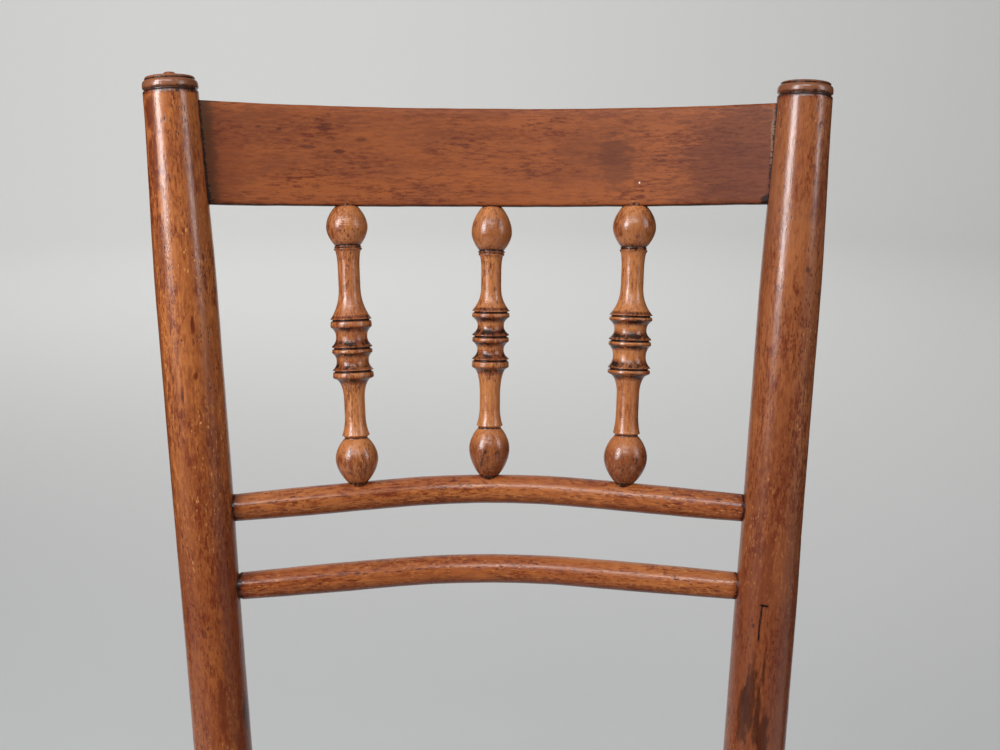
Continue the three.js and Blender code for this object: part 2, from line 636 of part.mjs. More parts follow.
// A flat strip between two points, lying at a given height.
function bar(from, to, base, height, width = CANE_RIDGE.width) {
  const length = Math.hypot(to.x - from.x, to.y - from.y);
  const geometry = new THREE.BoxGeometry(length, width, height);
  geometry.rotateZ(Math.atan2(to.y - from.y, to.x - from.x));
  geometry.translate((from.x + to.x) / 2, (from.y + to.y) / 2, base + height / 2);
  return solid(geometry);
}

// One of the four strips that cover the caning holes. Front and rear ones run between the side ones.
function binding(from, to, pullBack) {
  const direction = to.clone().sub(from).normalize();
  const start = from.clone().addScaledVector(direction, pullBack);
  const end = to.clone().addScaledVector(direction, -pullBack);
  const base = SEAT_HEIGHT + FIT + CANE_WALL + FIT;
  return bar(start, end, base, BINDING.thickness, BINDING.width);
}

// Front legs: a straight line from the seat frame down and outwards, cut off level at the floor.
function frontLegLine(side) {
  const topZ = SEAT_HEIGHT - SEAT_THICKNESS - FIT;
  const drop = topZ + FLOOR_ALLOWANCE;
  const top = new THREE.Vector3(SIGN[side] * FRONT_LEG.x, FRONT_LEG.y, topZ);
  const foot = new THREE.Vector3(
    SIGN[side] * (FRONT_LEG.x + drop * FRONT_LEG_LEAN.out),
    FRONT_LEG.y - drop * FRONT_LEG_LEAN.forward,
    -FLOOR_ALLOWANCE,
  );
  return new THREE.LineCurve3(foot, top);
}

function frontLegTenon(side, grow) {
  const line = frontLegLine(side);
  const direction = line.getTangent(0);
  const inside = line.v2.clone().addScaledVector(direction, -LEG_TENON.length / 2);
  return peg(inside, line.v2, LEG_TENON.radius + grow, 0, LEG_TENON.length + FIT + grow, 12);
}

function frontLegBlank(side) {
  const line = frontLegLine(side);
  const length = line.getLength() + LEG_TENON.radius;
  const profile = [
    [FRONT_LEG.footRadius, 0],
    [FRONT_LEG.topRadius, length - FRONT_LEG.swell],
    [FRONT_LEG.topRadius, length],
  ];
  const direction = line.getTangent(0);
  const end = line.v2.clone().addScaledVector(direction, LEG_TENON.radius);
  const blank = solid(bend(turned(profile, POST_SIDES), new THREE.LineCurve3(line.v1, end), 0, BACKWARD));
  const above = box(
    new THREE.Vector3(-500, -500, SEAT_HEIGHT - SEAT_THICKNESS - FIT),
    new THREE.Vector3(500, 500, SEAT_HEIGHT + 100),
  );
  return blank.subtract(above);
}

const belowFloor = box(new THREE.Vector3(-500, -600, -100), new THREE.Vector3(500, 500, 0));

function lineAtHeight(line, z) {
  const share = (z - line.v1.z) / (line.v2.z - line.v1.z);
  return line.v1.clone().lerp(line.v2, share);
}

// Stretchers: fuller in the middle, thinner where they enter the legs.
const STRETCHERS = {
  front_upper_stretcher: [["front", "left"], ["front", "right"], FRONT_STRETCHER_HEIGHTS.upper],
  front_lower_stretcher: [["front", "left"], ["front", "right"], FRONT_STRETCHER_HEIGHTS.lower],
  left_upper_stretcher: [["front", "left"], ["rear", "left"], SIDE_STRETCHER_HEIGHTS.upper],
  left_lower_stretcher: [["front", "left"], ["rear", "left"], SIDE_STRETCHER_HEIGHTS.lower],
  right_upper_stretcher: [["front", "right"], ["rear", "right"], SIDE_STRETCHER_HEIGHTS.upper],
  right_lower_stretcher: [["front", "right"], ["rear", "right"], SIDE_STRETCHER_HEIGHTS.lower],
  rear_stretcher: [["rear", "left"], ["rear", "right"], REAR_STRETCHER_HEIGHT],
};

function legAxisAt([end, side], z) {
  return end === "front" ? lineAtHeight(frontLegLine(side), z) : postAtHeight(side, z);
}

function stretcher([legA, legB, height], grow) {
  const from = legAxisAt(legA, height);
  const to = legAxisAt(legB, height);
  const direction = to.clone().sub(from).normalize();
  from.addScaledVector(direction, STRETCHER_STOP - grow);
  to.addScaledVector(direction, -STRETCHER_STOP + grow);
  const length = from.distanceTo(to);
  const steps = 6;
  const profile = [];
  for (let i = 0; i <= steps; i++) {
    const share = i / steps;
    const fullness = Math.sin(Math.PI * share);
    const radius = THREE.MathUtils.lerp(STRETCHER_END_RADIUS, STRETCHER_RADIUS, Math.sqrt(fullness));
    profile.push([radius + grow, share * length]);
  }
  const line = new THREE.LineCurve3(from, to);
  return solid(bend(turned(profile, STRETCHER_SIDES), line, 0, new THREE.Vector3(0, 0, 1)));
}

function stretcherSockets(end, side) {
  const entering = Object.values(STRETCHERS).filter(([legA, legB]) =>
    [legA, legB].some(([legEnd, legSide]) => legEnd === end && legSide === side),
  );
  return wasm.Manifold.union(entering.map((each) => stretcher(each, FIT)));
}

// Putting it together
const chair = new THREE.Group();

for (const side of ["left", "right"]) {
  const post = postBlank(side, 0)
    .subtract(topRail(FIT, FIT))
    .subtract(rod(upperRodCurve, FIT, FIT))
    .subtract(rod(lowerRodCurve, FIT, FIT))
    .subtract(sideSeatTenon(side, FIT))
    .subtract(rearSeatTenon(side, FIT))
    .subtract(stretcherSockets("rear", side))
    .subtract(belowFloor);
  chair.add(meshOf(`${side}_back_post`, post, beech));
}

const spindleSockets = wasm.Manifold.union(Object.values(SPINDLES).map((place) => spindleTenons(place, FIT)));
chair.add(meshOf("top_rail", topRail(0, 0).subtract(spindleSockets), darkBeech));
chair.add(meshOf("upper_back_rail", rod(upperRodCurve, 0, 0).subtract(spindleSockets), beech));
chair.add(meshOf("lower_back_rail", rod(lowerRodCurve, 0, 0), beech));
for (const [name, place] of Object.entries(SPINDLES)) {
  chair.add(meshOf(name, spindle(place), spindleBeech));
}

let frontBoard = board(frontBoardOutline())
  .subtract(holesAlong(holeCorner("left", "front"), holeCorner("right", "front")));
let rearBoard = board(rearBoardOutline())
  .subtract(holesAlong(holeCorner("left", "rear"), holeCorner("right", "rear")));
for (const side of ["left", "right"]) {
  const coping = postBlank(side, FIT);
  frontBoard = frontBoard.subtract(boardTenon(side, FIT)).subtract(frontLegTenon(side, FIT));
  rearBoard = rearBoard.subtract(coping);
  const sideBoard = board(sideBoardOutline(side))
    .subtract(coping)
    .subtract(holesAlong(...sideHoleEnds(side)))
    .add(boardTenon(side, 0))
    .add(sideSeatTenon(side, 0));
  chair.add(meshOf(`seat_${side}_board`, sideBoard, beech));
}
rearBoard = rearBoard.add(rearSeatTenon("left", 0)).add(rearSeatTenon("right", 0));
chair.add(meshOf("seat_front_board", frontBoard, beech));
chair.add(meshOf("seat_rear_board", rearBoard, beech));

chair.add(meshOf("cane_panel", canePanel(), cane));
const sidePull = -BINDING.width / 2;
const crossPull = BINDING.width / 2 + FIT;
const BINDINGS = {
  cane_binding_left: [holeCorner("left", "front"), holeCorner("left", "rear"), sidePull],
  cane_binding_right: [holeCorner("right", "front"), holeCorner("right", "rear"), sidePull],
  cane_binding_front: [holeCorner("left", "front"), holeCorner("right", "front"), crossPull],
  cane_binding_rear: [holeCorner("left", "rear"), holeCorner("right", "rear"), crossPull],
};
for (const [name, [from, to, pullBack]] of Object.entries(BINDINGS)) {
  chair.add(meshOf(name, binding(from, to, pullBack), cane));
}

for (const side of ["left", "right"]) {
  const leg = frontLegBlank(side)
    .subtract(stretcherSockets("front", side))
    .subtract(belowFloor)
    .add(frontLegTenon(side, 0));
  chair.add(meshOf(`${side}_front_leg`, leg, beech));
}
for (const [name, ends] of Object.entries(STRETCHERS)) {
  chair.add(meshOf(name, stretcher(ends, 0), beech));
}

// The origin is on the floor, under the middle of the chair's box.
const bounds = new THREE.Box3().setFromObject(chair);
const middle = bounds.getCenter(new THREE.Vector3());
chair.position.set(-middle.x, -middle.y, -bounds.min.z);

export default chair;
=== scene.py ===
import math

import bpy
import numpy as np
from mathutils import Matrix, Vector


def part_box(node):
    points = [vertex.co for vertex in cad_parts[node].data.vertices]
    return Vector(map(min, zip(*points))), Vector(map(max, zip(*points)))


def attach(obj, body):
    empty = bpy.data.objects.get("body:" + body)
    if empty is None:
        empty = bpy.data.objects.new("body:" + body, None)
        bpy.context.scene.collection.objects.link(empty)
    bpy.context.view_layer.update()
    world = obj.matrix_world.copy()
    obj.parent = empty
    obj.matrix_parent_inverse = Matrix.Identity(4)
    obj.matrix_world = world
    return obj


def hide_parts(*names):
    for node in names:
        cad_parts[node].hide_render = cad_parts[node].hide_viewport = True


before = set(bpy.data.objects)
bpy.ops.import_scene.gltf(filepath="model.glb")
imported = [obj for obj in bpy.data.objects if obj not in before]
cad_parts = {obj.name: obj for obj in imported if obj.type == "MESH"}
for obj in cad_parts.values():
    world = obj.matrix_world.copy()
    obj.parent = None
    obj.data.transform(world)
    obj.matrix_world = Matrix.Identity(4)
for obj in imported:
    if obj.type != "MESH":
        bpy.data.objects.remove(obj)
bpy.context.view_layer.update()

# Back posts: beech, turned round, steam-bent below the seat and varnished, each with a shallow
# turned groove under a low domed cap. The left post keeps the nub of its lathe centre.
# The right one is chipped on its outer edge, cracked and stained low down.

# A place on the back is given across the chair, up from the seat and behind the leaning plane of
# the two posts, by the solids' own sizes. The frame says where the seat's front edge and top are.
MM = 0.001
SEAT_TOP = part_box("seat_front_board")[1].z
FRONT_EDGE_FROM_POSTS = 384 * MM
POSTS_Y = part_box("seat_front_board")[0].y + FRONT_EDGE_FROM_POSTS
RECLINE = math.radians(11)
UP_THE_BACK = np.array([0.0, math.sin(RECLINE), math.cos(RECLINE)])
BEHIND = np.array([0.0, math.cos(RECLINE), -math.sin(RECLINE)])
POST_HALF_SPACING = 153.9 * MM
POST_OUTWARD = 0.0529


def back_point(across, rise, behind):
    """Points in the leaning plane: the seat's level on the post line, moved up the back and behind it."""
    across, rise, behind = np.broadcast_arrays(across, rise, behind)
    origin = np.array([0.0, POSTS_Y, SEAT_TOP])
    level = np.stack([across, 0 * across, 0 * across], -1)
    return origin + level + rise[..., None] * UP_THE_BACK + behind[..., None] * BEHIND


def post_half_spacing(rise):
    """Half the distance between the posts' middles, which grows evenly up the back."""
    return POST_HALF_SPACING + POST_OUTWARD * rise


# Heights are millimetres above the seat, and radii are millimetres.
POST = {
    "left": {"groove": 398.1, "seat_radius": 16.4, "dome": 2.2, "nub": 2.7, "sign": -1, "seed": 3.1},
    "right": {"groove": 395.4, "seat_radius": 17.5, "dome": 1.9, "nub": 0.0, "sign": 1, "seed": 8.4},
}
POST_FOOT_RADIUS = 13.0
POST_MID_RADIUS = 16.9
POST_TOP_RADIUS = 15.0
POST_SWELL = (95, 175, 285)
CAP_GROOVE_WIDTH = 1.4
CAP_GROOVE_DEPTH = 0.95
CAP_BEAD_HEIGHT = 5.3
BEND_BELOW_SEAT = 65 * MM
BEND_REACH = 62 * MM
REAR_LEG_RAKE = math.radians(8)
REAR_LEG_SPLAY = math.radians(2.5)
FOOT_ROUNDING = 0.6 * MM
POST_SIDES = 96
LEG_STEPS = 110
BEND_STEPS = 50
BACKWARD = np.array([0.0, 1.0, 0.0])


def in_scene(name, data):
    """A new object at the origin that holds a mesh, a light or a camera."""
    thing = bpy.data.objects.new(name, data)
    bpy.context.collection.objects.link(thing)
    return thing


def stands_for(piece, node):
    """Ties a piece to the chair, in the place of a solid, which it hides."""
    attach(piece, "root")
    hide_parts(node)


def hill(offset, width, power=2):
    """1 at no offset, falling smoothly to 0: e to the minus of the offset over the width, to a power."""
    return np.exp(-(np.abs(offset / width) ** power))


def path_through(points):
    """A path as its points and the length along it up to each of them."""
    steps = np.linalg.norm(np.diff(points, axis=0), axis=1)
    return points, np.concatenate([[0.0], np.cumsum(steps)])


def place_on(path, lengths, guide):
    """Where a path is at the given lengths, with its direction and two directions square to it.

    The direction is the path's slope over a short stretch, the second is the guide with its part
    along the path taken out, and the first is square to both."""
    points, travelled = path
    reach = 0.5 * MM

    def at(wanted):
        # Past either end the path goes straight on.
        inside = np.clip(wanted, 0, travelled[-1])
        spot = np.stack([np.interp(inside, travelled, points[:, k]) for k in range(3)], -1)
        start = (points[1] - points[0]) / np.linalg.norm(points[1] - points[0])
        finish = (points[-1] - points[-2]) / np.linalg.norm(points[-1] - points[-2])
        before = np.minimum(wanted, 0)[:, None] * start
        after = np.maximum(wanted - travelled[-1], 0)[:, None] * finish
        return spot + before + after

    centre = at(lengths)
    along = at(lengths + reach) - at(lengths - reach)
    along /= np.linalg.norm(along, axis=1)[:, None]
    second = guide - (along @ guide)[:, None] * along
    second /= np.linalg.norm(second, axis=1)[:, None]
    return centre, along, np.cross(second, along), second


def skin(name, rings, blank, grime_and_shade):
    """A closed skin over rings of points. Each ring joins the next all the way round, and a fan of
    triangles closes each end on the ring's middle. blank is each point's place in the straight
    piece of wood it was cut from, and grime how much dirt has settled there. On the top rail it
    also holds painted shade under the rail and beside the left post."""
    count, around = rings.shape[:2]
    ids = np.arange(count * around).reshape(count, around)
    beside = np.roll(ids, -1, axis=1)
    walls = np.stack([ids[:-1], beside[:-1], beside[1:], ids[1:]], -1).reshape(-1, 4)
    foot, head = count * around, count * around + 1
    foot_fan = np.stack([beside[0], ids[0], np.full(around, foot)], -1)
    head_fan = np.stack([ids[-1], beside[-1], np.full(around, head)], -1)
    ends = [rings[0].mean(0), rings[-1].mean(0)]
    vertices = np.concatenate([rings.reshape(-1, 3), ends])
    blank = np.concatenate([blank.reshape(-1, 3), [blank[0].mean(0), blank[-1].mean(0)]])
    grime_and_shade = np.concatenate([grime_and_shade.reshape(-1), [grime_and_shade[0].mean(), grime_and_shade[-1].mean()]])
    corners = np.concatenate([walls.ravel(), foot_fan.ravel(), head_fan.ravel()])
    sizes = np.concatenate([np.full(len(walls), 4), np.full(2 * around, 3)])
    mesh = bpy.data.meshes.new(name)
    mesh.vertices.add(len(vertices))
    mesh.vertices.foreach_set("co", vertices.ravel())
    mesh.loops.add(len(corners))
    mesh.loops.foreach_set("vertex_index", corners)
    mesh.polygons.add(len(sizes))
    mesh.polygons.foreach_set("loop_start", np.cumsum(sizes) - sizes)
    mesh.update(calc_edges=True)
    mesh.validate()
    mesh.attributes.new("blank", "FLOAT_VECTOR", "POINT").data.foreach_set("vector", blank.ravel())
    mesh.attributes.new("grime_and_shade", "FLOAT", "POINT").data.foreach_set("value", grime_and_shade)
    mesh.shade_smooth()
    return in_scene(name, mesh)


def wander(lengths, angles, seed):
    """A slow unevenness of hand work between -1 and 1: a sum of a few waves along and round the piece."""
    total = 0.0 * lengths * angles
    for k, (pitch, turns) in enumerate([(0.190, 1), (0.083, 2), (0.037, 1), (0.019, 3)]):
        total = total + np.sin(2 * math.pi * lengths / pitch + turns * angles + seed * (k + 1.7)) / (k + 1.5)
    return total / 1.9


def turned(name, path, guide, lengths, radii, around, seed, grime_and_shade, unevenness=0.12, dents=()):
    """A turned piece: a profile of radii carried along a path.

    A point is the path's place, plus the radius times the cosine of its angle across and the sine
    of its angle towards the guide. Each dent lowers the radius by a smooth hill. grime is a
    function of the lengths, angles and points, and says how dirty each place is."""
    angles = np.arange(around) * 2 * math.pi / around
    s, a = lengths[:, None], angles[None, :]
    fine = np.clip((radii / (3 * MM))[:, None], 0, 1)
    radius = radii[:, None] + fine * unevenness * MM * wander(s, a, seed)
    dented = 0 * radius
    for at, angle, length, width, depth, dirt in dents:
        turn = np.angle(np.exp(1j * (a - math.radians(angle)))) * radii[:, None]
        hollow = hill(np.hypot((s - at) / length, turn / width), 1.0, 4)
        radius = radius - depth * hollow
        dented = np.maximum(dented, dirt * hollow)
    centre, along, across, second = place_on(path, lengths, guide)
    cos, sin = np.cos(a)[..., None], np.sin(a)[..., None]
    rings = centre[:, None] + radius[..., None] * (cos * across[:, None] + sin * second[:, None])
    blank = np.stack([radius * np.cos(a), radius * np.sin(a), s + 0 * a], -1) + seed
    rings[..., 2] = np.maximum(rings[..., 2], 0.0)
    settled = np.maximum(np.broadcast_to(grime_and_shade(s, a, rings), radius.shape), dented)
    return skin(name, rings, blank, settled)


def post_path(side):
    """The post's line: straight up from the foot, round the bend below the seat, straight to the cap."""
    sign = POST[side]["sign"]

    def on_back(rise):
        return back_point(sign * post_half_spacing(rise), rise, 0.0)

    crossing = on_back(-BEND_BELOW_SEAT)
    down = np.array([sign * math.tan(REAR_LEG_SPLAY), math.tan(REAR_LEG_RAKE), -1.0])
    down /= np.linalg.norm(down)
    low = crossing + down * BEND_REACH
    high = on_back(BEND_REACH - BEND_BELOW_SEAT)
    foot = crossing + down * (crossing[2] / -down[2])
    top = on_back(post_top_rise(side) * MM)
    t = np.linspace(0, 1, 60)[:, None]
    bend = (1 - t) ** 2 * low + 2 * t * (1 - t) * crossing + t**2 * high
    return path_through(np.concatenate([[foot], bend, [top]]))


def post_top_rise(side):
    """The height of the cap's highest point above the seat, in millimetres."""
    post = POST[side]
    return post["groove"] + CAP_BEAD_HEIGHT + post["dome"] + post["nub"]


def stretch(start, end, shape, count):
    """Stations between two [height, radius] points. The radius goes straight, or as a quarter of an
    ellipse that bulges (leaves its start at once) or hollows (keeps its start, then hurries), as a
    smooth step, or as a power that falls fast at first or rises fast at last."""
    t = np.linspace(0, 1, count, endpoint=False)
    eased = {
        "line": t,
        "bulge": np.sqrt(1 - (1 - t) ** 2),
        "hollow": 1 - np.sqrt(1 - t**2),
        "ease": t * t * (3 - 2 * t),
        "fall": 1 - (1 - t) ** 2.3,
        "rise": t**2.3,
    }[shape]
    return np.stack([start[0] + (end[0] - start[0]) * t, start[1] + (end[1] - start[1]) * eased], -1)


def outline(stations):
    """Runs a list of (height, radius, shape to the next, steps to the next) together."""
    parts = [
        stretch(this[:2], following[:2], this[2], this[3])
        for this, following in zip(stations, stations[1:])
    ]
    return np.concatenate(parts + [[stations[-1][:2]]])


def post_outline(side):
    """Rise up the back and radius, in millimetres, from the bend to the cap's crown."""
    post = POST[side]
    groove, seat = post["groove"], post["seat_radius"]
    half, top = CAP_GROOVE_WIDTH / 2, POST_TOP_RADIUS
    notch = groove + half + CAP_BEAD_HEIGHT - 0.4
    crown = groove + CAP_BEAD_HEIGHT + post["dome"]
    stations = [
        (0, seat, "line", 40),
        (POST_SWELL[0], seat, "ease", 40),
        (POST_SWELL[1], POST_MID_RADIUS, "line", 50),
        (POST_SWELL[2], POST_MID_RADIUS, "ease", 60),
        (groove - half - 0.5, top, "line", 2),
        (groove - half, top - 0.25, "line", 3),
        (groove - half * 0.4, top - CAP_GROOVE_DEPTH, "line", 2),
        (groove + half * 0.4, top - CAP_GROOVE_DEPTH, "line", 3),
        (groove + half, top - 0.3, "bulge", 6),
        (groove + half + 1.0, top + 0.15, "line", 2),
        (groove + half + 1.7, top + 0.1, "hollow", 12),
        (notch - 0.45, 13.75, "line", 3),
        (notch - 0.1, 13.1, "line", 2),
        (notch + 0.15, 13.1, "bulge", 5),
        (notch + 0.7, 13.65, "line", 2),
        (crown - 0.75, 13.3, "hollow", 9),
        (crown - 0.1, 11.4, "line", 3),
    ]
    if post["nub"]:
        stations += [
            (crown, 5.4, "hollow", 6),
            (crown + 0.6, 4.0, "line", 3),
            (crown + post["nub"] * 0.65, 3.2, "hollow", 7),
            (crown + post["nub"], 0.2, "line", 1),
        ]
    else:
        stations += [(crown, 0.3, "line", 1)]
    return outline(stations)


TOP_RAIL_RISE = 364.3 * MM
TOP_RAIL_HEIGHT = 55.8 * MM
TOP_RAIL_THICKNESS = 12 * MM
UPPER_ROD = {"rise": 162.6 * MM, "lift": 0.133}
LOWER_ROD = {"rise": 117.0 * MM, "lift": 0.04}
ROD_SHOULDER_RADIUS = 7.8 * MM
# The rails leave the posts a little behind their inner side, by these turns.
RAIL_ANGLE = math.radians(23.7)
ROD_ANGLE = math.radians(15.9)


def post_grime(side, foot_to_seat):
    """Dirt in the cap's groove, a brown stain on the cap, a thin dark line round each joint with a
    rail, and some more where the seat's boards meet the post: a sum of hills."""
    post = POST[side]
    inner = math.pi if post["sign"] > 0 else 0.0

    def turn_from(a, behind):
        return np.angle(np.exp(1j * (a - inner + post["sign"] * behind)))

    def settled(s, a, points):
        rise = s - foot_to_seat
        above = rise - post["groove"] * MM
        notch = CAP_BEAD_HEIGHT * MM + 0.9 * MM
        total = hill(above, 0.8 * MM) + 0.6 * hill(above - notch, 0.35 * MM)
        total = total + 0.3 * hill(above - 1.7 * MM, 0.4 * MM)
        patchy = 0.6 + 0.4 * np.sin(3 * a + post["seed"]) * np.sin(2 * a + 900 * s)
        total = total + patchy * np.where(above > 0, 0.27, 0.28 * np.exp(above / (2.0 * MM)))
        for rod in (UPPER_ROD, LOWER_ROD):
            away = np.hypot(rise - rod["rise"], turn_from(a, ROD_ANGLE) * POST_MID_RADIUS * MM)
            total = total + 0.85 * hill(away - ROD_SHOULDER_RADIUS, 0.9 * MM)
        beyond = np.maximum(np.abs(rise - TOP_RAIL_RISE) - TOP_RAIL_HEIGHT / 2, 0)
        round_post = np.abs(turn_from(a, RAIL_ANGLE) * POST_TOP_RADIUS * MM)
        sideways = np.maximum(round_post - TOP_RAIL_THICKNESS * 0.55, 0)
        total = total + 0.8 * hill(np.hypot(beyond, sideways), 0.8 * MM)
        return np.clip(total + 0.4 * hill(rise + 11 * MM, 13 * MM, 4), 0, 1)

    return settled


def from_posts(points):
    """How far points are from the nearer post's surface, measured square to its line."""
    offset = points - np.array([0.0, POSTS_Y, SEAT_TOP])
    rise = offset @ UP_THE_BACK
    behind = offset @ BEHIND
    sideways = np.abs(points[..., 0]) - post_half_spacing(rise)
    radius = np.interp(rise, [POST_SWELL[2] * MM, 0.395], [POST_MID_RADIUS * MM, POST_TOP_RADIUS * MM])
    return np.hypot(sideways, behind) - radius


def post_piece(side, dents):
    """The post's stations: the straight leg and the bend in even steps, then the turned outline."""
    path = post_path(side)
    post = POST[side]
    slope = math.hypot(1, POST_OUTWARD)
    top_length = path[1][-1]
    foot_to_seat = top_length - post_top_rise(side) * MM * slope
    leg_end = foot_to_seat - BEND_BELOW_SEAT - BEND_REACH
    leg = np.linspace(0, leg_end, LEG_STEPS, endpoint=False)
    leg_radii = POST_FOOT_RADIUS + (post["seat_radius"] - POST_FOOT_RADIUS) * leg / leg_end
    bend = np.linspace(leg_end, foot_to_seat, BEND_STEPS, endpoint=False)
    upper = post_outline(side)
    lengths = np.concatenate([leg, bend, foot_to_seat + upper[:, 0] * MM * slope])
    radii = np.concatenate([leg_radii, np.full(BEND_STEPS, post["seat_radius"]), upper[:, 1]]) * MM
    radii[0] -= FOOT_ROUNDING
    lengths[1] = FOOT_ROUNDING
    lengths[-1] = min(lengths[-1], top_length)
    placed = [(foot_to_seat + rise * MM * slope, *rest) for rise, *rest in dents]
    grime_and_shade = post_grime(side, foot_to_seat)
    piece = turned(
        f"{side}_post", path, BACKWARD, lengths, radii, POST_SIDES, post["seed"], grime_and_shade, dents=placed
    )
    stands_for(piece, f"{side}_back_post")
    return piece, foot_to_seat


# A dent is (rise in mm, angle in degrees, half length, half width, depth, dirt). The angle is
# 0 at the viewer's right, 90 at the back and 270 at the front.
left_post, left_seat_length = post_piece("left", [
    (60, 300, 3 * MM, 1.2 * MM, 0.3 * MM, 0.5),
    (231, 262, 5 * MM, 0.8 * MM, 0.25 * MM, 0.7),
])
right_post, right_seat_length = post_piece("right", [
    (154, 352, 5 * MM, 2.4 * MM, 1.3 * MM, 0.55),
    (148, 340, 2 * MM, 1.4 * MM, 0.5 * MM, 0.8),
    (101, 248, 9 * MM, 0.7 * MM, 0.4 * MM, 0.4),
])


class Graph:
    """A material's nodes, made one after the other and joined as they are named."""

    def __init__(self, name):
        self.material = bpy.data.materials.new(name)
        self.material.use_nodes = True
        self.tree = self.material.node_tree
        self.shader = self.tree.nodes["Principled BSDF"]

    def add(self, kind, inputs=(), **settings):
        node = self.tree.nodes.new(kind)
        for key, value in settings.items():
            setattr(node, key, value)
        for key, value in dict(inputs).items():
            self.feed(node.inputs[key], value)
        return node

    def feed(self, socket, value):
        if isinstance(value, bpy.types.NodeSocket):
            self.tree.links.new(value, socket)
        else:
            socket.default_value = value

    def math(self, operation, first, second=0.0, third=0.0):
        inputs = {0: first, 1: second, 2: third}
        return self.add("ShaderNodeMath", inputs, operation=operation).outputs[0]

    def times(self, first, second):
        return self.math("MULTIPLY", first, second)

    def line(self, value, slope, start):
        """The value times the slope, plus the start."""
        return self.math("MULTIPLY_ADD", value, slope, start)

    def ramp(self, value, low, high):
        """0 below low, 1 above high, and a smooth step between them."""
        inputs = {"Value": value, "From Min": low, "From Max": high}
        return self.add("ShaderNodeMapRange", inputs, interpolation_type="SMOOTHSTEP").outputs["Result"]

    def mix(self, amount, first, second):
        node = self.add("ShaderNodeMix", data_type="RGBA")
        self.feed(node.inputs[0], amount)
        self.feed(node.inputs[6], first)
        self.feed(node.inputs[7], second)
        return node.outputs[2]

    def tinted(self, colour, target, mask, strength):
        """The colour, moved towards the target by the mask times the strength."""
        return self.mix(self.times(mask, strength), colour, target)

    def scaled(self, vector, scale, shift=(0, 0, 0)):
        inputs = {"Vector": vector, "Scale": scale, "Location": shift}
        return self.add("ShaderNodeMapping", inputs).outputs["Vector"]

    def noise(self, vector, scale, detail=2.0, shift=(0, 0, 0), rough=0.55):
        inputs = {"Vector": self.scaled(vector, scale, shift), "Scale": 1.0}
        inputs.update({"Detail": detail, "Roughness": rough})
        return self.add("ShaderNodeTexNoise", inputs).outputs["Fac"]

    def strewn(self, vector, fibre, scale, shift, channel, edge, chance):
        """Small frayed spots, one in each chosen cell of a scattered grid: near the cell's middle, in
        a distance that the fibres break up. The cell's own random colour chooses it."""
        inputs = {"Vector": self.scaled(vector, scale, shift), "Scale": 1.0}
        cell = self.add("ShaderNodeTexVoronoi", inputs)
        split = self.add("ShaderNodeSeparateColor", {"Color": cell.outputs["Color"]})
        frayed = self.math("ADD", cell.outputs["Distance"], self.line(fibre, 0.9, -0.45))
        return self.times(self.ramp(frayed, *edge), self.ramp(split.outputs[channel], *chance))

    def finish(self, colour, roughness, height, strength, depth):
        """Sends the colour and roughness to the shader, and the height through a bump to its normal."""
        bump = self.add("ShaderNodeBump", {"Strength": strength, "Distance": depth, "Height": height})
        self.feed(self.shader.inputs["Base Color"], colour)
        self.feed(self.shader.inputs["Roughness"], roughness)
        self.feed(self.shader.inputs["Normal"], bump.outputs["Normal"])
        return self.material


def rgb(red, green, blue):
    """A colour as seen on a screen, 0 to 255, turned into the linear light that the shader uses."""
    seen = np.array([red, green, blue]) / 255
    linear = np.where(seen <= 0.04045, seen / 12.92, ((seen + 0.055) / 1.055) ** 2.4)
    return (*linear, 1.0)


# A dark brown for dirt, which on the top rail also paints shade.
DIRT_AND_SHADE = rgb(28, 12, 6)
FLECK = rgb(78, 27, 12)
RUBBED = rgb(220, 158, 98)


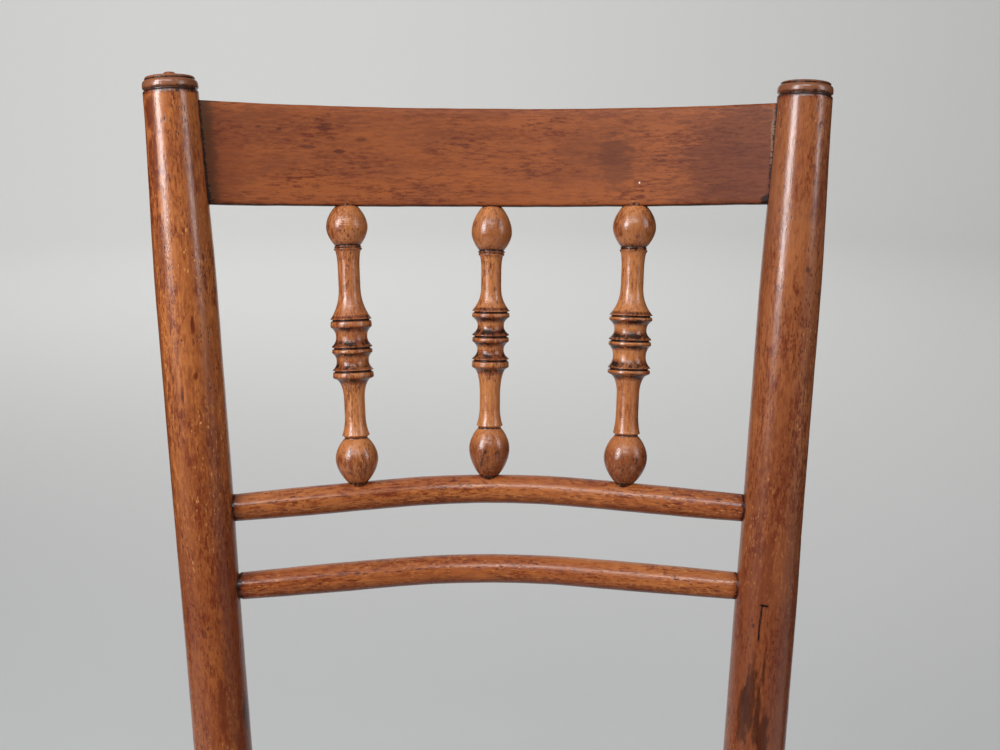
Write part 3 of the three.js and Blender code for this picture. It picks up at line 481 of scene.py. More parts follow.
def varnished_wood(
    name, light, deep, red, mottling=0.6, flecks=0.5, pale=0.0, gloss=0.3, shine=0.6,
    lathe=0.0, grain=None, marks=(),
):
    """Old varnished beech, drawn in the blank's own length, width and depth so that the grain runs
    along each piece. Clouds mix the light and the deep colour, long strands and short fibres follow
    the grain, and a rough mottling reddens it in places. Crowds of small spots are dark flecks or
    pale rubbed ones, and the grime attribute gives the stain and dirt in grooves and joints. On the
    top rail it also paints shade under the rail and beside the left post.
    A mark is an ellipsoid with a ragged edge: its place in the blank, half sizes, colour, strength.
    Some marks are painted shade."""
    g = Graph(name)
    if grain is None:
        blank = g.add("ShaderNodeAttribute", attribute_name="blank").outputs["Vector"]
        grime_and_shade = g.add("ShaderNodeAttribute", attribute_name="grime_and_shade").outputs["Fac"]
    else:
        place = g.add("ShaderNodeTexCoord").outputs["Object"]
        blank = g.add("ShaderNodeMapping", {"Vector": place, "Rotation": grain}).outputs["Vector"]
        grime_and_shade = g.ramp(g.noise(blank, (30, 30, 30)), 0.62, 0.9)
    stain_and_shade = g.ramp(grime_and_shade, 0.0, 0.3)
    fibre = g.noise(blank, (760, 760, 150), 5.0, (3, 1, 4), 0.72)
    strand = g.noise(blank, (560, 560, 20), 3.0, (7, 2, 9), 0.6)
    mottle = g.noise(blank, (260, 260, 120), 8.0, (1, 5, 2), 0.72)
    where = g.noise(blank, (60, 60, 22), 4.0, (9, 9, 1), 0.6)
    colour = g.mix(g.ramp(g.noise(blank, (60, 60, 14), 4.0), 0.32, 0.7), light, deep)
    colour = g.tinted(colour, deep, g.ramp(strand, 0.42, 0.68), 0.4)
    colour = g.tinted(colour, light, g.ramp(strand, 0.44, 0.28), 0.3)

    # The rough mottling and the fibres take the red, most where the wood is lively.
    crowded = g.line(where, 0.5, g.math("ADD", mottle, -0.25))
    crowded = g.line(stain_and_shade, 0.06, crowded)
    reddened = g.ramp(crowded, 0.65 - 0.2 * mottling, 0.79 - 0.2 * mottling)
    colour = g.tinted(colour, red, reddened, 0.7)
    lively = g.line(g.ramp(where, 0.42, 0.62), 0.6, 0.35)
    colour = g.tinted(colour, red, g.ramp(fibre, 0.48, 0.62), lively)
    colour = g.tinted(colour, light, g.ramp(fibre, 0.48, 0.35), 0.6)

    # Dashes along the grain, then crowds of dark flecks, then the pale nicks of rubbed varnish.
    dash = g.noise(blank, (900, 900, 230), 4.0, (5, 8, 3), 0.7)
    dashed = g.ramp(where, 0.67 - 0.3 * flecks, 0.78 - 0.3 * flecks)
    colour = g.tinted(colour, FLECK, g.times(g.ramp(dash, 0.55, 0.63), dashed), 0.75)
    # The grime attribute reddens the wood: stain, and on the top rail painted shade.
    colour = g.tinted(colour, red, stain_and_shade, 0.6)
    cloud = g.noise(blank, (45, 45, 22), 3.0, (9, 9, 1))
    crowd = g.ramp(cloud, 0.68 - 0.3 * flecks, 0.82 - 0.3 * flecks)
    crowd = g.math("MAXIMUM", crowd, g.ramp(grime_and_shade, 0.2, 0.45))
    small = g.strewn(blank, fibre, (900, 900, 330), (2, 8, 5), 0, (0.45, 0.22), (0.6, 0.8))
    large = g.strewn(blank, fibre, (520, 520, 150), (6, 3, 1), 0, (0.45, 0.22), (0.74, 0.94))
    fleck = g.times(g.math("MAXIMUM", small, large), crowd)
    colour = g.tinted(colour, FLECK, fleck, 0.85)
    if pale:
        nick = g.strewn(blank, fibre, (950, 950, 360), (4, 4, 4), 1, (0.4, 0.16), (0.55, 0.85))
        rubbed = g.ramp(g.noise(blank, (38, 38, 12), 2.0, (5, 0, 3)), 0.45, 0.6)
        colour = g.tinted(colour, RUBBED, g.times(nick, rubbed), pale)

    rag = g.line(g.noise(blank, (420, 420, 130), 5.0, (0, 0, 6), 0.65), 2.0, -1.0)
    for centre, size, tint, amount in marks:
        offset = g.scaled(blank, tuple(1 / k for k in size), tuple(-c / k for c, k in zip(centre, size)))
        far = g.add("ShaderNodeVectorMath", {0: offset}, operation="LENGTH").outputs["Value"]
        colour = g.tinted(colour, tint, g.ramp(g.math("ADD", far, rag), 1.15, 0.55), amount)

    # Dirt has a broken edge where it is thin, and a smooth one where it fills a groove. On the top
    #     rail the same dark colour also paints shade under the rail and beside the left post.
    broken = g.line(g.noise(blank, (700, 700, 170), 4.0, (0, 7, 7), 0.65), 3.0, -1.5)
    thin = g.times(g.ramp(grime_and_shade, 0.05, 0.35), g.line(g.ramp(grime_and_shade, 0.6, 0.85), -0.75, 1.0))
    soiled_and_shaded = g.ramp(g.line(broken, thin, grime_and_shade), 0.46, 0.7)
    colour = g.tinted(colour, DIRT_AND_SHADE, soiled_and_shaded, 0.93)

    worn = g.line(g.noise(blank, (90, 90, 30), 3.0, (3, 3, 8)), 0.2, gloss - 0.13)
    roughness = g.line(fibre, 0.12, g.line(soiled_and_shaded, 0.06, worn))
    g.shader.inputs["Specular IOR Level"].default_value = shine
    height = g.math("ADD", g.times(fibre, 0.5), g.times(fleck, -0.6))
    height = g.line(g.noise(blank, (300, 300, 60), 3.0, (8, 8, 8)), 0.8, height)
    height = g.line(g.noise(blank, (800, 800, 450), 2.0, (2, 8, 4)), 0.5, height)
    if lathe:
        height = g.line(g.noise(blank, (25, 25, 2300), 2.0, (6, 6, 6)), lathe, height)
    return g.finish(colour, roughness, height, 0.6, 0.16 * MM)


LEFT_LIGHT = rgb(181, 109, 56)
LEFT_DEEP = rgb(151, 84, 43)
RIGHT_LIGHT = rgb(161, 97, 56)
RIGHT_DEEP = rgb(132, 74, 44)
POST_RED = rgb(106, 40, 18)


def on_post(side, rise, angle):
    """A place on a post's surface in its blank, from its height above the seat and its angle."""
    seed, radius = POST[side]["seed"], POST_MID_RADIUS * MM
    start = left_seat_length if side == "left" else right_seat_length
    turn = math.radians(angle)
    along = start + rise * MM * math.hypot(1, POST_OUTWARD)
    return (radius * math.cos(turn) + seed, radius * math.sin(turn) + seed, along + seed)


# A red for stains, which also paints shade on the lower posts and under the round rails.
RED_STAIN_AND_SHADE = rgb(96, 38, 20)
STAIN_BROWN = rgb(60, 28, 18)
STAIN_DARK = rgb(58, 22, 12)
# The cap's brown, which also paints shade on the right post's left flank.
CAP_AND_SHADE_BROWN = rgb(126, 80, 56)
CRACK = rgb(20, 9, 6)


def post_marks(side, placed):
    """Marks as (rise, angle, half sizes across and along in mm, colour, strength)."""
    return [
        (on_post(side, rise, angle), (across * MM, across * MM, along * MM), tint, amount)
        for rise, angle, across, along, tint, amount in placed
    ]


left_marks = post_marks("left", [
    (POST["left"]["groove"] + 4, 285, 40, 5.5, CAP_AND_SHADE_BROWN, 0.75),
    # Painted shade: a large mark darkens the whole post from halfway up towards the seat, in the stain's red.
    (40, 285, 50, 210, RED_STAIN_AND_SHADE, 0.5),
    (250, 208, 5, 130, RED_STAIN_AND_SHADE, 0.55),
    (60, 350, 16, 150, RED_STAIN_AND_SHADE, 0.4),
    (386, 234, 5.5, 12, RED_STAIN_AND_SHADE, 0.85),
    (358, 236, 4, 20, RED_STAIN_AND_SHADE, 0.8),
    (312, 238, 4.5, 24, RED_STAIN_AND_SHADE, 0.55),
    (50, 291, 3, 20, RED_STAIN_AND_SHADE, 0.75),
    (330, 322, 8, 34, RED_STAIN_AND_SHADE, 0.3),
    (269, 291, 1.1, 5.5, RED_STAIN_AND_SHADE, 0.9),
    (321, 289, 1.3, 2.2, RED_STAIN_AND_SHADE, 0.85),
    (241, 289, 1.5, 2.6, RED_STAIN_AND_SHADE, 0.85),
    (44, 348, 4.5, 12, STAIN_BROWN, 0.8),
])
right_marks = post_marks("right", [
    (POST["right"]["groove"] + 4, 256, 40, 5.5, CAP_AND_SHADE_BROWN, 0.75),
    # Painted shade: a large mark darkens the whole post from halfway up towards the seat, in the stain's red.
    (30, 256, 50, 170, RED_STAIN_AND_SHADE, 0.5),
    (56, 240, 5, 26, STAIN_DARK, 0.8),
    (46, 228, 4, 22, STAIN_DARK, 0.75),
    (48, 256, 2.5, 20, STAIN_DARK, 0.8),
    (36, 268, 4, 18, STAIN_DARK, 0.8),
    (72, 262, 1.2, 16, STAIN_DARK, 0.7),
    (134, 252, 5, 30, RED_STAIN_AND_SHADE, 0.45),
    (205, 262, 8, 46, RED_STAIN_AND_SHADE, 0.3),
    (336, 300, 5, 16, RED_STAIN_AND_SHADE, 0.55),
    # Painted shade: the post's left flank darker and greyer high up, in the cap's brown.
    (350, 190, 12, 60, CAP_AND_SHADE_BROWN, 0.4),
    (300, 286, 1.3, 2.0, STAIN_BROWN, 0.7),
    (288, 268, 1.2, 1.8, RED_STAIN_AND_SHADE, 0.8),
    (99, 236, 1.2, 1.8, STAIN_BROWN, 0.8),
    (91, 275, 1.0, 1.3, STAIN_BROWN, 0.8),
    (106, 250, 0.8, 6.5, CRACK, 1.0),
    (95, 247.5, 0.8, 6, CRACK, 1.0),
    (111.5, 254, 2.6, 0.8, CRACK, 1.0),
])
left_varnish = varnished_wood(
    "left_post_varnish", LEFT_LIGHT, LEFT_DEEP, POST_RED, 0.62, 0.8, 0.85, 0.22, marks=left_marks
)
right_varnish = varnished_wood(
    "right_post_varnish", RIGHT_LIGHT, RIGHT_DEEP, POST_RED, 0.58, 0.8, 0.6, 0.22, marks=right_marks
)
left_post.data.materials.append(left_varnish)
right_post.data.materials.append(right_varnish)

# Bowed rails: the flat top rail and two round rails are beech, bent by steam and let into the
# posts. The top rail bends over its whole length, and the round ones only in their middle.
BOW_DEPTH = 38 * MM


def bow_path(rise, lift, bend_share):
    """Straight in from each post, with a parabola's arc between the straight ends. bend_share is the
    part of the half width that the arc takes up, and lift the bow's rise as a share of its depth."""
    half = post_half_spacing(rise)
    apex = BOW_DEPTH / (1 - bend_share / 2)
    shoulder = apex * (1 - bend_share)
    t = np.linspace(0, 1, 200)
    across = (2 * t - 1) * bend_share
    depth = (1 - t) ** 2 * shoulder + 2 * t * (1 - t) * apex + t**2 * shoulder
    if bend_share < 1:
        across = np.concatenate([[-1], across, [1]])
        depth = np.concatenate([[0], depth, [0]])
    return path_through(back_point(across * half, rise + depth * lift, depth))


def length_at_x(path, x):
    """The length along a path that runs across the chair, where it passes x."""
    points, travelled = path
    return float(np.interp(x, points[:, 0], travelled))


TOP_RAIL_EDGE = 2.0 * MM
TOP_RAIL_HOUSING = 9 * MM
TOP_RAIL_TILT = (1.1 * MM, -0.9 * MM)
RAIL_SEED = 15.2
RAIL_STATIONS = 260
CORNER_STEPS, FACE_STEPS, EDGE_STEPS = 7, 22, 5
top_path = bow_path(TOP_RAIL_RISE, 0.0, 1.0)


def rail_section():
    """The rail's section as (thickness, height): a rounded rectangle, walked round once, a quarter
    circle at each corner and even steps along each straight side."""
    half = np.array([TOP_RAIL_THICKNESS, TOP_RAIL_HEIGHT]) / 2 - TOP_RAIL_EDGE
    corners = np.array([(1, 1), (-1, 1), (-1, -1), (1, -1)]) * half
    angles = np.radians(90 * np.arange(4)[:, None] + np.linspace(0, 90, CORNER_STEPS))
    arcs = corners[:, None] + TOP_RAIL_EDGE * np.stack([np.cos(angles), np.sin(angles)], -1)
    points = []
    for arc, following, steps in zip(arcs, np.roll(arcs, -1, axis=0), (EDGE_STEPS, FACE_STEPS) * 2):
        t = np.linspace(0, 1, steps + 1)[1:-1, None]
        points += [arc, arc[-1] * (1 - t) + following[0] * t]
    return np.concatenate(points)


def top_rail_piece():
    """The section carried along the bow. The upper edge rises at the left end and falls at the
    right, wanders a little as a spokeshaved edge does, and is rubbed rounder in the middle."""
    total = top_path[1][-1]
    start = POST_TOP_RADIUS * MM - TOP_RAIL_HOUSING
    lengths = np.linspace(start, total - start, RAIL_STATIONS)
    section = rail_section()
    centre, along, across, second = place_on(top_path, lengths, UP_THE_BACK)
    share = (lengths / total)[:, None]
    thick, high = section[None, :, 0], section[None, :, 1]
    tilt = TOP_RAIL_TILT[0] * (1 - share) ** 2 + TOP_RAIL_TILT[1] * share**3
    upper = np.clip(high / (TOP_RAIL_HEIGHT / 2), 0, 1)
    lower = np.clip(-high / (TOP_RAIL_HEIGHT / 2), 0, 1)
    edge_wave = 0.25 * MM * wander(lengths[:, None], 2.0, RAIL_SEED)
    drop = 0.3 * MM * wander(lengths[:, None], 5.0, RAIL_SEED + 4)
    height = high + upper * (tilt + edge_wave) - lower * (0.2 * MM + drop)
    face = 0.12 * MM * wander(lengths[:, None], high / (9 * MM), RAIL_SEED + 2)
    width = thick * (1 - 0.06 * upper**6) + np.sign(thick) * face
    rings = centre[:, None] + width[..., None] * across[:, None] + height[..., None] * second[:, None]
    blank = np.stack([width, height, lengths[:, None] + 0 * width], -1) + RAIL_SEED
    # The thin dark line where each end meets a post is dirt in the joint. The wider band at the left end,
    # darker towards the bottom, and the dark underside are painted shade.
    gap = np.maximum(from_posts(rings), 0)
    at_left = rings[..., 0] < 0
    low = (height / TOP_RAIL_HEIGHT - 0.5) ** 2
    left = 0.85 * hill(gap, 0.7 * MM, 1.5) + (0.14 + 0.3 * low) * hill(gap, 5 * MM)
    right = 0.9 * hill(gap, 0.7 * MM, 1.4)
    corner = hill(gap, 3 * MM) * hill(height + TOP_RAIL_HEIGHT / 2, 3.5 * MM)
    ends = np.where(at_left, left, right + corner)
    under = 0.75 * np.clip((lower - 0.965) / 0.03, 0, 1)
    piece = skin("curved_top_rail", rings, blank, np.clip(ends + under, 0, 1))
    stands_for(piece, "top_rail")
    return piece


def on_rail(across, up):
    """A place on the rail's front face in its blank, from millimetres across the chair and up from
    the rail's middle."""
    spot = np.array([-TOP_RAIL_THICKNESS / 2, up * MM, length_at_x(top_path, across * MM)])
    return tuple(spot + RAIL_SEED)


RAIL_SPOT = rgb(70, 30, 22)
RAIL_PAINTED_SHADE = rgb(84, 44, 30)
RAIL_RED_PAINTED_SHADE = rgb(112, 50, 30)
RAIL_END_DIRT_AND_SHADE = rgb(86, 54, 30)
RAIL_DARK_PAINTED_SHADE = rgb(88, 40, 24)
RESIDUE = rgb(150, 120, 95)
# A mark is (place, half sizes through, up and along in mm, colour, strength). Several are painted shade: a
# large dark patch over the right end, two patches right of the middle, and at the left end a band along the
# post with patches below and beside it.
rail_marks = [
    (on_rail(across, up), tuple(k * MM for k in (3, *size)), tint, amount)
    for across, up, size, tint, amount in [
        (-95, 16, (2.2, 5.0), RAIL_SPOT, 0.55),
        (-74, 10, (1.6, 4.2), RAIL_SPOT, 0.5),
        (-86, 2.5, (1.3, 4.0), RAIL_SPOT, 0.75),
        (-105, 5, (0.9, 6.0), RAIL_SPOT, 0.6),
        (-131, 15.5, (0.9, 2.2), RAIL_SPOT, 0.7),
        (-120, 14.5, (0.8, 1.8), RAIL_SPOT, 0.7),
        (-14, 7.5, (0.7, 5.0), RAIL_SPOT, 0.6),
        (74, -3, (17, 11), RAIL_PAINTED_SHADE, 0.5),
        (60, 4, (9, 26), RAIL_PAINTED_SHADE, 0.3),
        (-159, -3, (44, 6.5), RAIL_END_DIRT_AND_SHADE, 0.85),
        (-160, -22, (8, 11), RAIL_END_DIRT_AND_SHADE, 0.5),
        (160, 20, (5, 9), RAIL_END_DIRT_AND_SHADE, 0.4),
        (142, -4, (40, 36), RAIL_DARK_PAINTED_SHADE, 0.6),
        (157, -25, (2.5, 4), DIRT_AND_SHADE, 0.9),
        (160, 2, (24, 1.4), RESIDUE, 0.55),
        (-150, -4, (26, 14), RAIL_RED_PAINTED_SHADE, 0.3),
        (88, -15, (0.6, 0.5), rgb(235, 225, 210), 1.0),
    ]
]
RAIL_LIGHT = rgb(150, 82, 42)
RAIL_DEEP = rgb(124, 66, 38)
RAIL_RED = rgb(94, 40, 22)
rail_varnish = varnished_wood(
    "top_rail_varnish", RAIL_LIGHT, RAIL_DEEP, RAIL_RED, 0.36, 0.2, 0.0, 0.45, 0.25, marks=rail_marks
)
top_rail_piece().data.materials.append(rail_varnish)

# The round rails are dowels with thinner ends, which sit in round holes in the posts.
ROD_RADIUS = 8.6 * MM
ROD_END_RADIUS = 7.2 * MM
ROD_HOUSING = 13 * MM
ROD_BEND_SHARE = 0.35
ROD_SIDES = 56
ROD_STATIONS = 300
upper_path = bow_path(UPPER_ROD["rise"], UPPER_ROD["lift"], ROD_BEND_SHARE)
lower_path = bow_path(LOWER_ROD["rise"], LOWER_ROD["lift"], ROD_BEND_SHARE)


def rod_piece(name, node, path, seed):
    """A round rail: thin in the posts, swelling to its full radius in the bent middle. Its dirt
    falls off with the distance from the post."""
    total = path[1][-1]
    start = POST_MID_RADIUS * MM - ROD_HOUSING
    shoulder = start + ROD_HOUSING
    lengths = np.linspace(start, total - start, ROD_STATIONS)
    from_end = np.minimum(lengths, total - lengths)
    swell = np.clip((from_end - shoulder) / (0.22 * total), 0, 1)
    radii = ROD_SHOULDER_RADIUS + (ROD_RADIUS - ROD_SHOULDER_RADIUS) * swell * (2 - swell)
    radii = np.where(from_end < shoulder, ROD_END_RADIUS, radii)

    def grime_and_shade(s, a, points):
        gap = np.maximum(from_posts(points), 0)
        return 0.9 * hill(gap, 0.9 * MM, 1.5) + 0.25 * hill(gap, 5 * MM)

    piece = turned(name, path, UP_THE_BACK, lengths, radii, ROD_SIDES, seed, grime_and_shade, unevenness=0.16)
    stands_for(piece, node)
    return piece


ROD_LIGHT = rgb(175, 105, 55)
ROD_DEEP = rgb(148, 79, 40)
for rod_name, rod_node, rod_route, rod_seed in (
    ("upper_rod", "upper_back_rail", upper_path, 21.5),
    ("lower_rod", "lower_back_rail", lower_path, 27.9),
):
    # Painted shade: a mark darkens the underside of each round rail along its whole length, in the stain's
    # red.
    below = (rod_seed + 2 * MM, rod_seed - 9 * MM, rod_seed + 0.18)
    rod_underside_shade = [(below, (16 * MM, 8 * MM, 0.5), RED_STAIN_AND_SHADE, 0.6)]
    rod_varnish = varnished_wood(
        f"{rod_name}_varnish", ROD_LIGHT, ROD_DEEP, POST_RED, 0.6, 0.9, 0.4, 0.22, marks=rod_underside_shade
    )
    rod_piece(rod_name, rod_node, rod_route, rod_seed).data.materials.append(rod_varnish)

# Spindles: beech, turned by hand and so each a little different: a ball under the top rail, a
# collar of two fine edges, a waist, three rings of two lips with coves between them, a waist that
# flares to a sharp edge, and a drop-shaped ball on the upper round rail. Black dirt is left in
# the grooves. Levels are millimetres below the top rail, each followed by its radius.
SPINDLES = {
    "left": {
        "foot": -77.3, "head": -82.9, "length": 163.8, "seed": 33.3, "flare": 2.3,
        "head_radius": 6.0, "ball": (12.4, 12.0), "neck": (23.2, 7.3), "collar": (23.9, 7.9, 25.4, 8.2),
        "waist": (38.0, 47.2, 6.35), "rings": ((66.2, 71.0), (82.7, 86.2), (96.3, 100.8)),
        "lip": 11.9, "coves": (9.1, 9.4), "low_waist": (114.0, 124.0, 6.1), "edge": (135.4, 8.1),
        "low_neck": (137.0, 6.6), "low_ball": (149.4, 12.5), "foot_radius": 5.4, "tone": 0.16, "soil": 1.05,
    },
    "middle": {
        "foot": 0.0, "head": 1.9, "length": 158.6, "seed": 39.7, "flare": 2.5,
        "head_radius": 5.2, "ball": (15.1, 11.95), "neck": (25.6, 7.3), "collar": (26.3, 8.0, 27.9, 7.7),
        "waist": (38.0, 46.0, 5.95), "rings": ((60.6, 64.3), (74.9, 78.7), (88.9, 93.8)),
        "lip": 11.0, "coves": (7.8, 7.9), "low_waist": (111.0, 118.0, 6.1), "edge": (128.6, 7.8),
        "low_neck": (130.1, 6.7), "low_ball": (142.8, 12.1), "foot_radius": 5.6, "tone": 0.3, "soil": 1.15,
    },
    "right": {
        "foot": 80.0, "head": 85.2, "length": 163.2, "seed": 45.1, "flare": 2.5,
        "head_radius": 6.6, "ball": (12.6, 12.5), "neck": (24.0, 7.3), "collar": (24.6, 7.7, 26.2, 8.1),
        "waist": (37.0, 46.0, 6.6), "rings": ((63.6, 66.8), (78.0, 81.4), (94.6, 97.9)),
        "lip": 12.45, "coves": (9.4, 9.6), "low_waist": (110.5, 121.5, 6.6), "edge": (133.5, 7.95),
        "low_neck": (134.9, 6.7), "low_ball": (148.2, 12.7), "foot_radius": 5.4, "tone": 0.28, "soil": 1.25,
    },
}
# Each end goes this far into the rail that it meets, in millimetres.
SEATED = 2.5
SPINDLE_SIDES = 72


def round_part(top, top_radius, middle, radius, bottom, bottom_radius, steps):
    """A ball between two levels. Each half is a blend of an ellipse with a half wave from the
    middle's radius to the end's, so it is round at its middle and straighter towards its ends."""
    drop = np.linspace(top, bottom, steps)
    above = drop < middle
    reach = np.where(above, middle - top, bottom - middle)
    end = np.where(above, top_radius, bottom_radius)
    share = np.abs(drop - middle) / reach
    ellipse = radius * np.sqrt(1 - share**2 * (1 - (end / radius) ** 2))
    wave = end + (radius - end) * 0.5 * (1 + np.cos(math.pi * share))
    roundness = np.where(above, 0.85, 0.8)
    return np.stack([drop, roundness * ellipse + (1 - roundness) * wave], -1)


def flared(start, finish, power, steps):
    """A trumpet's curve: the radius grows as a power of the way along."""
    t = np.linspace(0, 1, steps, endpoint=False)
    return np.stack([start[0] + (finish[0] - start[0]) * t, start[1] + (finish[1] - start[1]) * t**power], -1)


def spindle_outline(v):
    """Level below the top rail and radius, from the head down."""
    neck, neck_radius = v["neck"]
    upper, upper_radius, lower, lower_radius = v["collar"]
    waist_start, waist_end, waist = v["waist"]
    low_start, low_end, low_waist = v["low_waist"]
    edge, edge_radius = v["edge"]
    low_neck, low_neck_radius = v["low_neck"]
    low_ball, low_ball_radius = v["low_ball"]
    first, lip = v["rings"][0][0], v["lip"]
    head = np.array([[-SEATED, v["head_radius"]]])
    upper_ball = round_part(0, v["head_radius"], *v["ball"], neck, neck_radius, 50)
    collar = outline([
        (neck + 0.25, neck_radius, "bulge", 4),
        (upper, upper_radius, "line", 2),
        (upper + 0.3, upper_radius - 0.05, "hollow", 3),
        ((upper + lower) / 2, min(upper_radius, lower_radius) - 0.55, "bulge", 3),
        (lower - 0.3, lower_radius, "line", 2),
        (lower + 0.1, lower_radius - 0.05, "hollow", 3),
        (lower + 0.7, waist + 1.3, "bulge", 18),
        (waist_start, waist, "line", 10),
        (waist_end, waist + 0.02, "line", 1),
    ])[:-1]
    flare = flared((waist_end, waist + 0.02), (first - 0.5, lip - 0.35), v["flare"], 26)
    stations = [(first - 0.45, lip - 0.3, "line", 2)]
    for i, (top, bottom) in enumerate(v["rings"]):
        out = lip + 0.12 * math.sin(2.3 * i + v["seed"])
        stations += [
            (top - 0.1, out, "line", 2),
            (top + 0.3, out - 0.05, "line", 3),
            (top + 0.6, out - 1.2, "line", 3),
            (top + 1.15, out - 1.25, "line", 3),
            (top + 1.45, out - 0.35, "bulge", 5),
            (bottom - 0.2, out + 0.02, "line", 2),
            (bottom + 0.15, out - 0.08, "line", 3),
            (bottom + 0.6, out - 0.75, "line", 1),
        ]
        if i < len(v["coves"]):
            following = v["rings"][i + 1][0]
            middle = bottom + (following - bottom) * 0.5
            cove = v["coves"][i]
            stations += [
                (bottom + 0.65, out - 0.8, "fall", 13),
                (middle, cove, "rise", 13),
                (following - 0.6, out - 0.55, "line", 3),
                (following - 0.3, out - 0.25, "line", 2),
            ]
    last, out = v["rings"][-1][1], lip - 0.8
    stations += [
        (last + 0.65, out, "bulge", 20),
        (low_start, low_waist, "line", 10),
        (low_end, low_waist + 0.02, "line", 1),
    ]
    trumpet = flared((low_end, low_waist + 0.02), (edge - 0.4, edge_radius - 0.15), 2.0, 18)
    step_back = outline([
        (edge - 0.3, edge_radius, "line", 2),
        (edge + 0.1, edge_radius, "line", 3),
        (edge + 0.45, edge_radius - 0.7, "line", 2),
        (low_neck, low_neck_radius, "line", 1),
    ])[:-1]
    drop_ball = round_part(
        low_neck, low_neck_radius, low_ball, low_ball_radius, v["length"], v["foot_radius"], 54
    )
    foot = np.array([[v["length"] + SEATED, v["foot_radius"]]])
    return np.concatenate([
        head, upper_ball, collar, flare, outline(stations)[:-1], trumpet, step_back, drop_ball, foot,
    ])


def settled_in_hollows(lengths, radii):
    """Dirt in grooves: the lower of the highest radii within 1.2 mm before and after a place, less
    the radius there, over 0.7 mm. A slope has nothing higher on one side, so it stays clean."""
    step, reach = 0.1 * MM, 12
    even = np.arange(lengths[0], lengths[-1], step)
    level = np.interp(even, lengths, radii)
    padded = np.pad(level, reach, mode="edge")
    windows = np.lib.stride_tricks.sliding_window_view(padded, 2 * reach + 1)
    depth = np.minimum(windows[:, :reach].max(1), windows[:, reach + 1:].max(1)) - level
    flat = np.clip(depth / (0.7 * MM), 0, 1)
    return np.interp(lengths, even, flat)


def ring_dirt(v, total):
    """How dark the coves and the foot of the lips are, as a sum of hills down the spindle. Each cove
    is dirtier toward its lower lip."""

    def settled(s):
        drop = (1 - s / total) * v["length"]
        dark = 0 * s
        for (_, bottom), (following, _) in zip(v["rings"], v["rings"][1:]):
            dark = dark + 0.68 * hill(drop - following + 2.0, 2.2) + 0.65 * hill(drop - bottom - 1.0, 1.4)
        dark = dark + 0.55 * hill(drop - v["rings"][0][0] + 1.0, 0.8)
        dark = dark + 0.4 * hill(drop - v["collar"][0], 2.2)
        return dark + 0.8 * hill(drop - v["rings"][-1][1] - 1.6, 2.0)

    return settled


def spindle_piece(side):
    """The outline, turned round the line from the round rail's top to the top rail's lower edge. The
    dirt lies in the hollows, at both ends and in patches, and the balls are a little browner."""
    v = SPINDLES[side]

    def middle_at(path, x):
        return place_on(path, np.array([length_at_x(path, x * MM)]), UP_THE_BACK)[0][0]

    foot = middle_at(upper_path, v["foot"]) + UP_THE_BACK * ROD_RADIUS
    head = middle_at(top_path, v["head"]) - UP_THE_BACK * TOP_RAIL_HEIGHT / 2
    path = path_through(np.stack([foot, head]))
    shape = spindle_outline(v)[::-1]
    total = path[1][-1]
    lengths = total * (1 - shape[:, 0] / v["length"])
    radii = shape[:, 1] * MM
    hollows = settled_in_hollows(lengths, radii)
    stain = ring_dirt(v, total)

    def grime_and_shade(s, a, points):
        ends = hill(np.minimum(s, total - s), 0.45 * MM)
        patchy = 0.5 + 0.5 * np.sin(2 * a + v["seed"] + 70 * s) * np.sin(3 * a + 2.1 * v["seed"] - 45 * s)
        drop = (1 - s / total) * v["length"]
        ball = np.clip((drop - v["low_neck"][0] - 3) / 8, 0, 1)
        ball = ball + 0.6 * hill(drop - v["ball"][0], 9, 4)
        dark = v["soil"] * stain(s) * (0.45 + 0.75 * patchy)
        return np.clip(0.9 * hollows[:, None] + dark + 0.7 * ends + v["tone"] * ball, 0, 1)

    piece = turned(
        f"{side}_turned_spindle", path, BACKWARD, lengths, radii, SPINDLE_SIDES, v["seed"], grime_and_shade, 0.08
    )
    stands_for(piece, f"{side}_spindle")
    return piece


spindle_varnish = varnished_wood(
    "spindle_varnish", rgb(189, 122, 72), rgb(163, 96, 56), rgb(104, 46, 24), 0.52, 0.52, 0.4, 0.2, lathe=1.2
)
for spindle_side in SPINDLES:
    spindle_piece(spindle_side).data.materials.append(spindle_varnish)

# Front legs and stretchers: plain turned beech with the posts' varnish. The legs taper to the
# floor and are glued into the seat. The stretchers are dowels, fuller in the middle, with their
# ends glued into holes in the legs.
LEG_TOP_RADIUS = 16.5 * MM
LEG_FOOT_RADIUS = 12.0 * MM
LEG_SWELL = 60 * MM
FOOT_EDGE = 0.8 * MM
STRETCHER_RADIUS = 8.6 * MM
STRETCHER_END_RADIUS = 6.2 * MM
LEG_LEAN_OUT = 0.026
LEG_LEAN_FORWARD = 0.05
LEG_SIDES, LEG_STATIONS = 64, 200
STRETCHER_SIDES, STRETCHER_STATIONS = 40, 150
UPRIGHT = np.array([0.0, 0.0, 1.0])


def leg_line(side):
    """The front leg's axis from the floor to the underside of the seat, from its solid's corners."""
    low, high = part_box(f"{side}_front_leg")
    sign = POST[side]["sign"]
    outer = high.x if sign > 0 else low.x
    foot = np.array([outer - sign * LEG_FOOT_RADIUS, low.y + LEG_FOOT_RADIUS, FOOT_EDGE])
    top_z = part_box("seat_front_board")[0].z
    return foot, foot + np.array([-sign * LEG_LEAN_OUT, LEG_LEAN_FORWARD, 1.0]) * top_z


